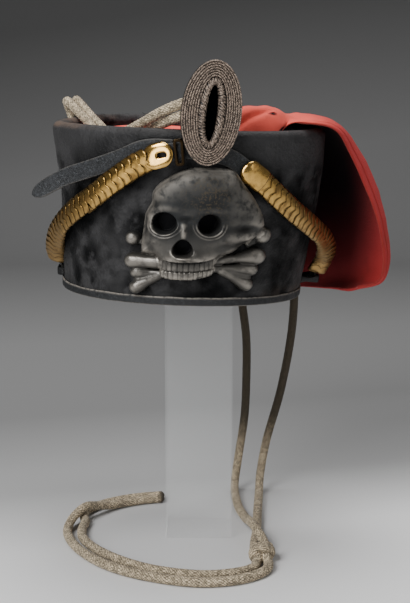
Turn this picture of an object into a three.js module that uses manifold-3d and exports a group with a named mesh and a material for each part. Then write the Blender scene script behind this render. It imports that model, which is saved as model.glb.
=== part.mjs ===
// A hussar busby on a clear block stand, in millimetres with +Z up.
// The origin is the centre of the stand's foot. +X is the viewer's right and +Y points away from the viewer.
// The hat is modelled upright about its own axis and then placed by one group, a little turned and leaning.

import * as THREE from 'three';
import { mergeVertices } from 'three/addons/utils/BufferGeometryUtils.js';
import Module from 'manifold-3d';

const wasm = await Module();
wasm.setup();

const DEG = Math.PI / 180;
const CLEARANCE = 0.3;
const MERGE_DISTANCE = 1e-4;

// The stand and how the hat sits on it
const STAND = { width: 52, depth: 52, height: 299 };
const HAT_SEAT = { x: -13.6, y: 0, z: 195.5 };
const HAT_YAW = 9 * DEG;
const HAT_LEAN = 2.3 * DEG;

// The body: half sizes of the oval wall at even heights, from the bottom edge to the top
const HAT_HEIGHT = 128;
const WALL_SECTIONS = [
  { height: 0.0, left: 90.5, right: 90.0, front: 99.0, back: 103.0 },
  { height: 25.6, left: 91.3, right: 94.0, front: 101.0, back: 105.0 },
  { height: 51.2, left: 92.0, right: 97.7, front: 102.8, back: 107.0 },
  { height: 76.8, left: 94.0, right: 101.0, front: 105.5, back: 110.0 },
  { height: 102.4, left: 98.5, right: 104.0, front: 109.5, back: 114.5 },
  { height: 128.0, left: 102.5, right: 105.0, front: 113.0, back: 118.0 },
];
const BOTTOM_EDGE = { left: 0, right: 0, front: 2.5, back: 0 };
const TOP_EDGE = { left: 126, right: 129, front: 127, back: 131 };
const WALL_THICKNESS = 3;
const ROUND_STEPS = 36;
const WALL_ROWS = { outside: 6, inside: 3 };
const ROLL_RADIUS = 6;
const ROLL_CENTRE = HAT_HEIGHT - ROLL_RADIUS - 1;
const ROLL_STEPS = 4;

// The leather binding of the bottom edge
const BINDING = { thickness: 1.2, outsideHeight: 6, insideHeight: 5 };
const BODY_FOOT = BINDING.thickness + CLEARANCE;

// The bag: rows from the left of the crown to the hem; crown edges are given by their turn round the rim
const CLOTH_THICKNESS = 2;
const CROWN_SEAT = { height: 117, out: -12.4 };
const CROWN_ROWS = [
  { frontTurn: -72, backTurn: -108, ridge: [-88.6, 0, 115], shoulder: 0 },
  { frontTurn: -46, backTurn: -134, ridge: [-62, 0, 107], shoulder: -5 },
  { frontTurn: -20, backTurn: -160, ridge: [-32, 0, 105.5], shoulder: -5 },
  { frontTurn: 2, backTurn: 178, ridge: [4, 0, 106], shoulder: 12 },
  { frontTurn: 18, backTurn: 162, ridge: [34, -20, 124], shoulder: 24 },
  { frontTurn: 32, backTurn: 148, ridge: [56, -30, 136], shoulder: 22 },
];
const FLAP_ROWS = [
  { front: [63, -73, 131], ridge: [70, -46, 136], back: [66, 70, 129.5] },
  { front: [81, -74, 132.5], ridge: [86, -44, 135.5], back: [88, 66, 131.8] },
  { front: [99, -68, 127], ridge: [106, -40, 131], back: [104, 62, 123.5] },
  { front: [111.5, -62, 111], ridge: [124, -35, 113.5], back: [108, 60, 104] },
  { front: [124.3, -58, 89], ridge: [139.8, -33, 87.5], back: [106, 58, 78] },
  { front: [138, -54.5, 61], ridge: [151, -32, 56], back: [104, 57, 48] },
  { front: [146, -50, 30], ridge: [156, -27, 25], back: [102, 57, 18] },
  { front: [145, -44, 14], ridge: [152, -22, 10], back: [101.5, 57, 2] },
  { front: [131, -37, 5], ridge: [131, -15, 2], back: [101, 57, -7] },
];
const CROWN_BULGE = 4;
const CROWN_SHARES = { nearFront: 0.16, nearBack: 0.6 };
const FLAP_BULGE = { nearFront: 2.2, nearBack: 9 };
const BAG_STEPS = { along: 20, across: 8 };

// The field badge: an oval of wound braid about a slit, on the front of the hat
const BADGE = { x: -1.4, backY: -114.7, z: 138, tilt: 4.6 * DEG };
const BADGE_SLIT = { halfWidth: 3.8, halfHeight: 18.7 };
const BADGE_ROUND_STEPS = 24;
const BADGE_ROLL_WIDTH = 5.6;
const BADGE_ROLL = [
  { share: 0, depth: 0 },
  { share: 0, depth: 4.5 },
  { share: 0.25, depth: 8 },
  { share: 0.6, depth: 9 },
];
const BADGE_RINGS = { count: 4, width: 2.6, firstDepth: 8, lastDepth: 6, groove: 1.6 };
const BADGE_CORE = { depth: 5, curveSegments: 10 };

// The skull and crossed bones, laid out flat and then bent round the wall: x along the wall, z up
const WALL_BEND_RADIUS = 95;
const SKULL_FORMS = [
  { name: 'cranium', x: -2.5, z: 63, out: 0, halfX: 41.5, halfZ: 37, halfOut: 17, sides: 16, rings: 9 },
  { name: 'left temple', x: -33, z: 52, out: 0, halfX: 11, halfZ: 20, halfOut: 11, sides: 10, rings: 5 },
  { name: 'brow', x: -14, z: 71.5, out: 0, halfX: 28, halfZ: 10, halfOut: 16, sides: 10, rings: 6 },
  { name: 'nose bridge', x: -14, z: 55, out: 0, halfX: 6, halfZ: 13, halfOut: 18, sides: 8, rings: 5 },
  { name: 'left cheek', x: -33, z: 46, out: 0, halfX: 10, halfZ: 7, halfOut: 14, sides: 10, rings: 5 },
  { name: 'right cheek', x: 9, z: 45, out: 0, halfX: 14, halfZ: 8, halfOut: 17, sides: 10, rings: 5 },
  { name: 'upper jaw', x: -12, z: 37, out: 0, halfX: 22, halfZ: 13, halfOut: 17.5, sides: 10, rings: 7 },
  { name: 'lower jaw', x: -11, z: 26, out: 0, halfX: 21, halfZ: 8, halfOut: 14, sides: 10, rings: 6 },
];
const SKULL_HOLLOWS = [
  { name: 'left eye', x: -29, z: 61, out: 18, halfX: 8.3, halfZ: 8.3, halfOut: 13, sides: 10, rings: 7 },
  { name: 'right eye', x: 2.3, z: 60.5, out: 21, halfX: 8.2, halfZ: 8, halfOut: 14, sides: 10, rings: 7 },
  { name: 'nose', x: -15.3, z: 43.5, out: 19.5, halfX: 6.2, halfZ: 6.6, halfOut: 11, sides: 8, rings: 6 },
];
const SKULL_CAVITIES = [
  { name: 'skull cavity', x: -2.5, z: 64, out: 0, halfX: 38, halfZ: 33, halfOut: 13.8, sides: 12, rings: 7 },
  { name: 'jaw cavity', x: -12, z: 37, out: 0, halfX: 17, halfZ: 10, halfOut: 13.5, sides: 10, rings: 6 },
];
const TEETH_ROWS = [
  { z: 31, halfZ: 4.2, halfX: 2.4, out: 13.5 },
  { z: 24.5, halfZ: 3.8, halfX: 2.3, out: 12 },
];
const TEETH = { first: -30, pitch: 5, count: 8, centre: -12, halfArch: 24, halfOut: 3.2, sides: 6, rings: 3 };
const BONES = [
  { name: 'falling bone', left: { x: -46, z: 41.5 }, right: { x: 35, z: 23 } },
  { name: 'rising bone', left: { x: -46, z: 19.5 }, right: { x: 38, z: 46.5 } },
];
const BONE = { shaftRadius: 4.2, out: 4.2, sides: 8, steps: 6 };
const BONE_KNOB = { radius: 5.2, spread: 5.6, sides: 8, rings: 5 };

// The chin strap: leather straps on the wall with brass scales over them, each from its side to the front
const STRAP = { width: 12.5, thickness: 2 };
const STRAP_LEFT_ROWS = [
  { turn: -97.5, height: 8, out: 0.6 },
  { turn: -97, height: 15.5, out: 0.8 },
  { turn: -94.5, height: 25, out: 4.2 },
  { turn: -85, height: 39, out: 5.2 },
  { turn: -72.5, height: 52.5, out: 5.2 },
  { turn: -61, height: 64.5, out: 4.6 },
  { turn: -50, height: 75.5, out: 3.4 },
  { turn: -38, height: 89.5, out: 3 },
  { turn: -27, height: 102.5, out: 2.9 },
  { turn: -19, height: 109.5, out: 2.9 },
  { turn: -12, height: 112, out: 2.9 },
  { turn: -9.8, height: 112.4, out: 2.9 },
];
const STRAP_RIGHT_ROWS = [
  { turn: 90.7, height: 8, out: 10.5 },
  { turn: 90.2, height: 14.5, out: 12.5 },
  { turn: 89.3, height: 20, out: 14.2 },
  { turn: 87.5, height: 26, out: 15 },
  { turn: 82.5, height: 33, out: 14.5 },
  { turn: 73, height: 43, out: 10 },
  { turn: 58, height: 54, out: 4.5 },
  { turn: 40, height: 69.5, out: 1 },
  { turn: 29, height: 82, out: 0.5 },
  { turn: 21, height: 92.5, out: 0.4 },
  { turn: 14, height: 101, out: 0.4 },
  { turn: 8, height: 108, out: 0.4 },
  { turn: -1, height: 112, out: 0.4 },
  { turn: -12, height: 113.5, out: 0.4 },
  { turn: -25, height: 113, out: 0.4 },
  { turn: -37, height: 104.5, out: 0.5 },
  { turn: -49, height: 97, out: 3 },
  { turn: -61, height: 88.5, out: 12.5 },
  { turn: -70.5, height: 74, out: 30 },
];
const STRAP_STEPS = { left: 26, right: 44 };
const SKULL_GIVES_WAY = { width: 18.4, thickness: 12 };
const TONGUE = { taper: 13, endWidth: 0.25 };
const SCALE_SEAT = 0.7;
const SCALES = { halfWidth: 8.4, edge: 0.9, dome: 3.2, step: 1.1, scallop: 0.6, face: 0.93, across: 4 };
const SCALES_LEFT = { count: 25, start: 19, pitch: 6.2 };
const SCALES_RIGHT = { count: 26, start: 14, pitch: 6.2 };
const END_PLATE = { length: 17, halfWidth: 8.6, corner: 4.3, lift: 0.5, thickness: 1.6 };
const END_SLOT = { length: 7, halfWidth: 2, fromEnd: 4.5 };
const BUCKLE = { length: 6.5, halfWidth: 9.4, wire: 2, lift: 0.5, thickness: 2.4 };
const FRONT_GAP = 0.6;
const CORNER_SEGMENTS = 6;
const SIDE_TABS = [
  { name: 'side_tab_left', turn: -97.2, height: 10.8, overStrap: 4.3, thickness: 1.6 },
  { name: 'side_tab_right', turn: 90.7, height: 9.6, overStrap: 16.2, thickness: 3 },
];
const SIDE_TAB = { halfTurn: 8, halfHeight: 3, fromWall: 0.4, steps: 6 };

// The cap line: two runs of braided cord, with their routes in the stand's frame
const CORD = { diameter: 7.3, sides: 8 };
const LINE_ROUTES = [
  {
    name: 'cap_line_left',
    steps: 42,
    points: [
      [6.5, -110.5, 341.3], [-8.5, -104.4, 339.4], [-25.5, -94.9, 332.7], [-38.7, -83.8, 325.1],
      [-54.5, -62.9, 317], [-68.3, -34.7, 313], [-77.3, -2.7, 313.6], [-83.3, 23.6, 318.4],
      [-91.5, 39, 325.5], [-100, 51.5, 332.8], [-106.3, 62, 337.6], [-107.2, 71.5, 335.2],
      [-102.6, 79.8, 319.5], [-93.2, 85.6, 297], [-76, 92.3, 275.5], [-48.6, 107, 264.4],
      [-14.3, 112.5, 258], [17.8, 106.8, 253.5], [36.5, 97.8, 246.5], [37, 98.6, 220],
      [35.8, 98, 176], [40.2, 99, 136], [40.6, 100, 104], [39.2, 101.5, 66],
      [34.5, 102, 32], [31, 97, 9], [30.3, 80, 4.5], [31.4, 56, 3.9],
      [33, 36, 3.8], [37.5, 9, 4.8], [40.3, -14, 9.8], [43.4, -34, 12.4],
      [48, -50, 9.6], [51.5, -61, 4.6], [51.5, -66.2, 4],
    ],
  },
  {
    name: 'cap_line_right',
    steps: 40,
    points: [
      [6.2, -110.5, 332.6], [-8.8, -104.9, 330.9], [-24.2, -90, 325], [-33.9, -76.9, 320.4],
      [-47.5, -56.7, 315.4], [-60.9, -30.5, 312.2], [-69.8, 0.5, 312.8], [-75.9, 27.8, 317.6],
      [-85.3, 45.2, 325.3], [-93.3, 58.2, 332.9], [-99.5, 68.7, 338.2], [-99.9, 79, 335.7],
      [-95.8, 87, 320.6], [-88, 92.8, 302.8], [-74, 98.2, 285.5], [-48.8, 108.4, 273.6],
      [-13.9, 114, 266.7], [18.5, 107.8, 262.1], [41.7, 97, 259.5], [60, 92.5, 252],
      [74, 93, 234], [80, 95, 200], [80, 97.5, 150], [71, 99.5, 92],
      [58, 100.5, 42], [53, 97, 14], [51.5, 82, 4.2], [50, 58, 3.8],
      [48, 28, 3.8], [46.5, 0, 3.8], [45, -24, 3.8], [42.6, -48, 3.8],
      [42.3, -66.2, 4],
    ],
  },
  {
    name: 'cap_line_outer',
    steps: 20,
    points: [
      [51.5, -89.8, 4], [50.5, -98, 3.8], [44.5, -109, 3.8], [28, -121, 3.8], [1, -126, 3.8],
      [-35, -115, 3.8], [-65, -95, 3.8], [-87, -67, 3.8], [-100, -38, 3.8],
      [-104, -14, 4.4], [-100.5, 1, 8.6], [-92.5, 14.5, 12.2], [-84, 26.5, 9.2],
      [-75, 38, 5.5], [-63, 49, 4], [-48, 57, 3.8], [-30, 62, 3.8],
    ],
  },
  {
    name: 'cap_line_inner',
    steps: 20,
    points: [
      [42.3, -89.8, 4], [40.8, -96.5, 3.8], [34.5, -103.5, 3.8], [20, -110, 3.8], [1, -112, 3.8],
      [-32, -102, 3.8], [-59, -82, 3.8], [-79, -58, 3.8], [-90.5, -34, 3.8],
      [-92.5, -12, 3.8], [-91.5, 2, 3.8], [-94, 15, 3.8], [-93.5, 28, 3.8],
      [-85, 42, 3.8], [-72, 54, 3.8], [-55, 63.5, 3.8], [-30, 70.5, 3.8],
    ],
  },
];
const LINE_KNOT = { x: 47, y: -78, length: 22, halfWidth: 10.5, halfHeight: 7.4, endShare: 0.8 };
const LINE_KNOT_FACES = { sides: 14, rows: 4 };
const KEEPER = { width: 8, thickness: 1.5, steps: 12 };
const KEEPER_ROWS = [
  { turn: 147, height: 43, out: 0.6 },
  { turn: 147, height: 47.5, out: 5.5 },
  { turn: 147, height: 54, out: 10 },
  { turn: 147, height: 62, out: 10.6 },
  { turn: 147, height: 70, out: 10 },
  { turn: 147, height: 75.5, out: 5.5 },
  { turn: 147, height: 80, out: 0.6 },
];

const wallCurves = Object.fromEntries(
  ['left', 'right', 'front', 'back'].map((side) => {
    const points = WALL_SECTIONS.map((section) => new THREE.Vector2(section.height, section[side]));
    return [side, new THREE.SplineCurve(points)];
  }),
);

// A point on the wall: turn from the front line to the viewer's right, height, and distance out of the wall.
function wallPoint(turn, height, out = 0) {
  const share = THREE.MathUtils.clamp(height / HAT_HEIGHT, 0, 1);
  const sine = Math.sin(turn);
  const cosine = Math.cos(turn);
  const across = sine >= 0 ? 'right' : 'left';
  const along = cosine >= 0 ? 'front' : 'back';
  const halfWidth = wallCurves[across].getPoint(share).y;
  const halfDepth = wallCurves[along].getPoint(share).y;
  const edge = (level) => level[across] * sine ** 2 + level[along] * cosine ** 2;
  const normal = new THREE.Vector2(sine / halfWidth, -cosine / halfDepth).normalize();
  return new THREE.Vector3(
    halfWidth * sine + normal.x * out,
    -halfDepth * cosine + normal.y * out,
    THREE.MathUtils.lerp(edge(BOTTOM_EDGE), edge(TOP_EDGE), height / HAT_HEIGHT),
  );
}

function volumeOf(geometry) {
  const { position } = geometry.attributes;
  const corners = [0, 1, 2].map(() => new THREE.Vector3());
  let volume = 0;
  for (let i = 0; i < geometry.index.count; i += 3) {
    corners.forEach((corner, k) => corner.fromBufferAttribute(position, geometry.index.getX(i + k)));
    volume += corners[0].dot(corners[1].cross(corners[2])) / 6;
  }
  return volume;
}

// One closed body: shared points merged, and the faces turned round if they point in.
function closed(geometry) {
  geometry.deleteAttribute('normal');
  geometry.deleteAttribute('uv');
  const merged = mergeVertices(geometry, MERGE_DISTANCE);
  if (volumeOf(merged) < 0) {
    const turned = Array.from(merged.index.array);
    for (let i = 0; i < turned.length; i += 3) {
      [turned[i], turned[i + 1]] = [turned[i + 1], turned[i]];
    }
    merged.setIndex(turned);
  }
  merged.computeVertexNormals();
  return merged;
}

// Moves every point of a geometry by a rule and closes the result.
function shaped(geometry, place) {
  const { position } = geometry.attributes;
  const point = new THREE.Vector3();
  for (let i = 0; i < position.count; i += 1) {
    const moved = place(point.fromBufferAttribute(position, i));
    position.setXYZ(i, moved.x, moved.y, moved.z);
  }
  return closed(geometry);
}

function solidOf(geometry) {
  const mesh = new wasm.Mesh({
    numProp: 3,
    vertProperties: new Float32Array(geometry.attributes.position.array),
    triVerts: new Uint32Array(geometry.index.array),
  });
  return new wasm.Manifold(mesh);
}

function geometryOf(solid) {
  const { vertProperties, triVerts } = solid.getMesh();
  const geometry = new THREE.BufferGeometry();
  geometry.setAttribute('position', new THREE.BufferAttribute(vertProperties, 3));
  geometry.setIndex(new THREE.BufferAttribute(triVerts, 1));
  geometry.computeVertexNormals();
  return geometry;
}

function counted(count) {
  return Array.from({ length: count }, (_, i) => i);
}

function spaced(from, to, steps) {
  return counted(steps + 1).map((i) => THREE.MathUtils.lerp(from, to, i / steps));
}

// A ring round the wall, from a closed profile of heights and distances out of the wall.
const LATHE_RADIUS = 100;
function wallRing(profile) {
  const points = profile.map(({ height, out }) => new THREE.Vector2(LATHE_RADIUS + out, height));
  const lathe = new THREE.LatheGeometry([...points, points[0]], ROUND_STEPS);
  return shaped(lathe, (p) => {
    const out = Math.hypot(p.x, p.z) - LATHE_RADIUS;
    return wallPoint(Math.atan2(p.x, p.z), p.y, out);
  });
}

function outsideRows(out) {
  return spaced(BODY_FOOT, ROLL_CENTRE, WALL_ROWS.outside).map((height) => ({ height, out }));
}

function furBody() {
  const roll = spaced(0, Math.PI, ROLL_STEPS).slice(1).map((angle) => ({
    height: ROLL_CENTRE + ROLL_RADIUS * Math.sin(angle),
    out: ROLL_RADIUS * (Math.cos(angle) - 1),
  }));
  const insideTop = ROLL_CENTRE - 2 * ROLL_RADIUS;
  const insideHeights = spaced(insideTop, BODY_FOOT, WALL_ROWS.inside);
  const inside = insideHeights.map((height) => ({ height, out: -WALL_THICKNESS }));
  return wallRing([...outsideRows(0), ...roll, ...inside]);
}

function rimBinding() {
  const { thickness, outsideHeight, insideHeight } = BINDING;
  const near = CLEARANCE;
  const far = CLEARANCE + thickness;
  return wallRing([
    { height: outsideHeight, out: near },
    { height: outsideHeight, out: far },
    { height: 0, out: far },
    { height: 0, out: -WALL_THICKNESS - far },
    { height: insideHeight, out: -WALL_THICKNESS - far },
    { height: insideHeight, out: -WALL_THICKNESS - near },
    { height: thickness, out: -WALL_THICKNESS - near },
    { height: thickness, out: near },
  ]);
}

// A sheet of even thickness over a grid of points, given as rows of equal length.
function sheet(grid, thickness) {
  const rows = grid.length - 1;
  const columns = grid[0].length - 1;
  const at = (i, j) => grid[THREE.MathUtils.clamp(i, 0, rows)][THREE.MathUtils.clamp(j, 0, columns)];
  return shaped(new THREE.BoxGeometry(1, 1, 1, rows, columns, 1), (p) => {
    const i = Math.round((p.x + 0.5) * rows);
    const j = Math.round((p.y + 0.5) * columns);
    const along = at(i + 1, j).clone().sub(at(i - 1, j));
    const across = at(i, j + 1).clone().sub(at(i, j - 1));
    const normal = along.cross(across).normalize();
    return at(i, j).clone().addScaledVector(normal, p.z * thickness);
  });
}

function crownBag() {
  const onCrown = CROWN_ROWS.map(({ frontTurn, backTurn, ridge, shoulder }) => {
    const front = wallPoint(frontTurn * DEG, CROWN_SEAT.height, CROWN_SEAT.out);
    const back = wallPoint(backTurn * DEG, CROWN_SEAT.height, CROWN_SEAT.out);
    const middle = new THREE.Vector3(...ridge);
    const nearFront = front.clone().lerp(middle, CROWN_SHARES.nearFront).setZ(front.z + shoulder);
    const nearBack = middle.clone().lerp(back, CROWN_SHARES.nearBack);
    nearBack.z += CROWN_BULGE * Math.sign(middle.z - back.z);
    return [front, nearFront, middle, nearBack, back];
  });
  const onFlap = FLAP_ROWS.map(({ front, ridge, back }) => {
    const [first, middle, last] = [front, ridge, back].map((point) => new THREE.Vector3(...point));
    const nearFront = first.clone().lerp(middle, 0.5);
    nearFront.x += FLAP_BULGE.nearFront;
    const nearBack = middle.clone().lerp(last, 0.5);
    nearBack.x += FLAP_BULGE.nearBack;
    return [first, nearFront, middle, nearBack, last];
  });
  const acrossRows = [...onCrown, ...onFlap].map((row) => {
    return new THREE.CatmullRomCurve3(row).getPoints(BAG_STEPS.across);
  });
  const columns = counted(BAG_STEPS.across + 1).map((j) => {
    return new THREE.CatmullRomCurve3(acrossRows.map((row) => row[j])).getPoints(BAG_STEPS.along);
  });
  const grid = counted(BAG_STEPS.along + 1).map((i) => columns.map((column) => column[i]));
  return sheet(grid, CLOTH_THICKNESS);
}

// Rings of wound braid: a profile of depth against distance from the slit, carried round the oval.
function fieldBadge() {
  const { count, width, firstDepth, lastDepth, groove } = BADGE_RINGS;
  const rings = spaced(firstDepth, lastDepth, count - 1).flatMap((depth, k) => [
    { from: BADGE_ROLL_WIDTH + k * width, depth: depth - groove },
    { from: BADGE_ROLL_WIDTH + (k + 0.5) * width, depth },
  ]);
  const outside = BADGE_ROLL_WIDTH + count * width;
  const profile = [
    ...BADGE_ROLL.map(({ share, depth }) => ({ from: share * BADGE_ROLL_WIDTH, depth })),
    ...rings,
    { from: outside, depth: lastDepth / 2 },
    { from: outside, depth: 0 },
  ];
  const points = profile.map(({ from, depth }) => new THREE.Vector2(LATHE_RADIUS + from, depth));
  return shaped(new THREE.LatheGeometry([...points, points[0]], BADGE_ROUND_STEPS), (p) => {
    const angle = Math.atan2(p.x, p.z);
    const from = Math.hypot(p.x, p.z) - LATHE_RADIUS;
    return new THREE.Vector3(
      (BADGE_SLIT.halfWidth + from) * Math.sin(angle),
      -p.y,
      (BADGE_SLIT.halfHeight + from) * Math.cos(angle),
    );
  });
}

function badgeCore() {
  const halfWidth = BADGE_SLIT.halfWidth - CLEARANCE;
  const halfHeight = BADGE_SLIT.halfHeight - CLEARANCE;
  const outline = new THREE.Shape();
  outline.absellipse(0, 0, halfWidth, halfHeight, 0, 2 * Math.PI);
  const plug = new THREE.ExtrudeGeometry(outline, { ...BADGE_CORE, bevelEnabled: false });
  return shaped(plug, (p) => new THREE.Vector3(p.x, -p.z, p.y));
}

// The way straight out of the wall, which leans with the wall's slope.
function wallNormal(turn, height) {
  const round = wallPoint(turn + DEG, height).sub(wallPoint(turn - DEG, height));
  const upward = wallPoint(turn, height + 1).sub(wallPoint(turn, height - 1));
  return round.cross(upward).normalize();
}

// A path on the wall, and the place of a point given along it, across it and out from it.
function wallPath(rows) {
  const places = rows.map(({ turn, height, out }) => wallPoint(turn * DEG, height, out));
  const directions = rows.map(({ turn, height }) => wallNormal(turn * DEG, height));
  const curve = new THREE.CatmullRomCurve3(places);
  const normals = new THREE.CatmullRomCurve3(directions);
  const length = curve.getLength();
  const at = (distance, across, out) => {
    const share = THREE.MathUtils.clamp(distance / length, 0, 1);
    const centre = curve.getPointAt(share);
    const along = curve.getTangentAt(share);
    const away = normals.getPoint(curve.getUtoTmapping(share));
    const side = along.clone().cross(away).normalize();
    const normal = side.clone().cross(along).normalize();
    return centre.addScaledVector(side, across).addScaledVector(normal, out);
  };
  return { length, at };
}

// A flat strap along a path, with its far end brought to a blunt point where it is a tongue.
function strap(path, steps, { width, thickness }, tongue) {
  return shaped(new THREE.BoxGeometry(1, 1, 1, steps, 1, 1), (p) => {
    const distance = (p.x + 0.5) * path.length;
    const narrowing = tongue ? (path.length - distance) / tongue.taper + tongue.endWidth : 1;
    return path.at(distance, p.y * width * Math.min(narrowing, 1), (p.z + 0.5) * thickness);
  });
}

// A rounded form of the ornament, bent from its flat layout on to the wall.
function bentForm({ x, z, out, halfX, halfZ, halfOut, sides, rings }) {
  return solidOf(shaped(new THREE.SphereGeometry(1, sides, rings), (p) => {
    return wallPoint((x + p.x * halfX) / WALL_BEND_RADIUS, z + p.y * halfZ, out + p.z * halfOut);
  }));
}

function bone({ left, right }) {
  const shaft = new THREE.CylinderGeometry(BONE.shaftRadius, BONE.shaftRadius, 1, BONE.sides, BONE.steps);
  const slope = Math.atan2(right.z - left.z, right.x - left.x);
  const bent = solidOf(shaped(shaft, (p) => wallPoint(
    (THREE.MathUtils.lerp(left.x, right.x, p.y + 0.5) + p.x * Math.sin(slope)) / WALL_BEND_RADIUS,
    THREE.MathUtils.lerp(left.z, right.z, p.y + 0.5) - p.x * Math.cos(slope),
    BONE.out + p.z,
  )));
  const knobs = [left, right].flatMap((end) => [-1, 1].map((way) => bentForm({
    x: end.x - way * BONE_KNOB.spread * Math.sin(slope) + Math.sign(end.x) * BONE_KNOB.radius / 2,
    z: end.z + way * BONE_KNOB.spread * Math.cos(slope),
    out: BONE.out,
    halfX: BONE_KNOB.radius,
    halfZ: BONE_KNOB.radius,
    halfOut: BONE_KNOB.radius,
    sides: BONE_KNOB.sides,
    rings: BONE_KNOB.rings,
  })));
  return knobs.reduce((joined, knob) => joined.add(knob), bent);
}

function teeth() {
  return TEETH_ROWS.flatMap(({ z, halfZ, halfX, out }) => counted(TEETH.count).map((k) => {
    const x = TEETH.first + k * TEETH.pitch;
    const bow = Math.sqrt(1 - ((x - TEETH.centre) / TEETH.halfArch) ** 2);
    return bentForm({ ...TEETH, x, z, out: out * bow, halfX, halfZ });
  }));
}

// The ornament stands clear of the strap and scales that run past it.
function skullAndBones(strapPath) {
  const raised = [...SKULL_FORMS.map(bentForm), ...BONES.map(bone), ...teeth()];
  const joined = raised.reduce((whole, form) => whole.add(form));
  const hollows = [...SKULL_HOLLOWS, ...SKULL_CAVITIES].map(bentForm);
  const hollowed = hollows.reduce((whole, hollow) => whole.subtract(hollow), joined);
  const wallCore = wallRing([
    ...outsideRows(CLEARANCE),
    { height: ROLL_CENTRE, out: -LATHE_RADIUS / 2 },
    { height: BODY_FOOT, out: -LATHE_RADIUS / 2 },
  ]);
  const passing = strap(strapPath, STRAP_STEPS.right, SKULL_GIVES_WAY);
  return geometryOf(hollowed.subtract(solidOf(wallCore)).subtract(solidOf(passing)));
}

// Overlapping scales: each rises from under its neighbour to a rounded free edge that points to the front.
function scales(path, { count, start, pitch }) {
  const rows = 2 * count - 1;
  const seat = STRAP.thickness + SCALE_SEAT;
  return shaped(new THREE.BoxGeometry(1, 1, 1, rows, SCALES.across, 1), (p) => {
    const row = Math.round((p.x + 0.5) * rows);
    const isFreeEdge = row % 2;
    const across = p.y * 2;
    const arch = 1 - across ** 2;
    const number = Math.floor(row / 2) + isFreeEdge * SCALES.face - SCALES.scallop * (1 - arch);
    const top = SCALES.edge + SCALES.dome * Math.sqrt(arch) + SCALES.step * isFreeEdge;
    return path.at(start + pitch * number, across * SCALES.halfWidth, seat + (p.z > 0 ? top : 0));
  });
}

// A flat outline of distances along and across a path, given thickness and laid on the path.
function onPath(path, outline, lift, thickness) {
  const flat = new THREE.ExtrudeGeometry(outline, {
    depth: thickness,
    bevelEnabled: false,
    curveSegments: CORNER_SEGMENTS,
  });
  return shaped(flat, (p) => path.at(p.x, p.y, STRAP.thickness + lift + p.z));
}

function endPlate(path, start) {
  const { length, halfWidth, corner, lift, thickness } = END_PLATE;
  const outline = new THREE.Shape();
  const end = start + length;
  outline.moveTo(start, -halfWidth);
  outline.lineTo(end - corner, -halfWidth);
  outline.quadraticCurveTo(end, -halfWidth, end, corner - halfWidth);
  outline.lineTo(end, halfWidth - corner);
  outline.quadraticCurveTo(end, halfWidth, end - corner, halfWidth);
  outline.lineTo(start, halfWidth);
  outline.closePath();
  const slotEnd = end - END_SLOT.fromEnd;
  const slot = new THREE.Path();
  slot.moveTo(slotEnd - END_SLOT.length, -END_SLOT.halfWidth);
  slot.lineTo(slotEnd - END_SLOT.halfWidth, -END_SLOT.halfWidth);
  slot.absarc(slotEnd - END_SLOT.halfWidth, 0, END_SLOT.halfWidth, -Math.PI / 2, Math.PI / 2);
  slot.lineTo(slotEnd - END_SLOT.length, END_SLOT.halfWidth);
  slot.closePath();
  outline.holes.push(slot);
  return onPath(path, outline, lift, thickness);
}

function buckle(path, start) {
  const { length, halfWidth, wire, lift, thickness } = BUCKLE;
  const rectangle = (inset) => [
    new THREE.Vector2(start + inset, -halfWidth + inset),
    new THREE.Vector2(start + length - inset, -halfWidth + inset),
    new THREE.Vector2(start + length - inset, halfWidth - inset),
    new THREE.Vector2(start + inset, halfWidth - inset),
  ];
  const outline = new THREE.Shape(rectangle(0));
  outline.holes.push(new THREE.Path(rectangle(wire)));
  return onPath(path, outline, lift, thickness);
}

// A leather tab sewn to the wall over the end of a strap.
function sideTab({ turn, height, overStrap, thickness }) {
  const { halfTurn, halfHeight, fromWall, steps } = SIDE_TAB;
  return shaped(new THREE.BoxGeometry(1, 1, 1, steps, 1, 1), (p) => {
    const isSewnEdge = Math.abs(p.x) > 0.5 - 0.5 / steps;
    const out = isSewnEdge ? fromWall + thickness / 2 : overStrap;
    return wallPoint((turn + p.x * 2 * halfTurn) * DEG, height + p.y * 2 * halfHeight, out + p.z * thickness);
  });
}

// A tube whose steps follow the route's own points, so that they are close together in the bends.
function capLine({ points, steps }) {
  const route = new THREE.CatmullRomCurve3(points.map((point) => new THREE.Vector3(...point)));
  route.getUtoTmapping = (share) => share;
  const corner = (k) => {
    const angle = (2 * Math.PI * (k + 0.5)) / CORD.sides;
    return new THREE.Vector2(Math.cos(angle), Math.sin(angle)).multiplyScalar(CORD.diameter / 2);
  };
  const section = new THREE.Shape(counted(CORD.sides).map(corner));
  return closed(new THREE.ExtrudeGeometry(section, { steps, extrudePath: route }));
}

function lineKnot() {
  const { length, halfWidth, halfHeight, endShare } = LINE_KNOT;
  const { sides, rows } = LINE_KNOT_FACES;
  return shaped(new THREE.CylinderGeometry(1, 1, 1, sides, rows), (p) => {
    const swell = THREE.MathUtils.lerp(1, endShare, (2 * p.y) ** 2);
    return new THREE.Vector3(p.x * halfWidth * swell, p.y * length, p.z * halfHeight * swell);
  });
}

const finishes = {
  fur: { color: 0x17161a, roughness: 0.95, metalness: 0 },
  leather: { color: 0x1d1b1b, roughness: 0.6, metalness: 0 },
  cloth: { color: 0xb23a35, roughness: 0.9, metalness: 0 },
  braid: { color: 0x6b5b52, roughness: 0.6, metalness: 0.3 },
  blackWool: { color: 0x0c0b0c, roughness: 0.95, metalness: 0 },
  castMetal: { color: 0x3a3733, roughness: 0.45, metalness: 0.8 },
  brass: { color: 0xc89a3c, roughness: 0.25, metalness: 1 },
  cord: { color: 0x8d8169, roughness: 0.9, metalness: 0 },
  clear: { color: 0xdfe3e2, roughness: 0.05, metalness: 0 },
};

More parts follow.
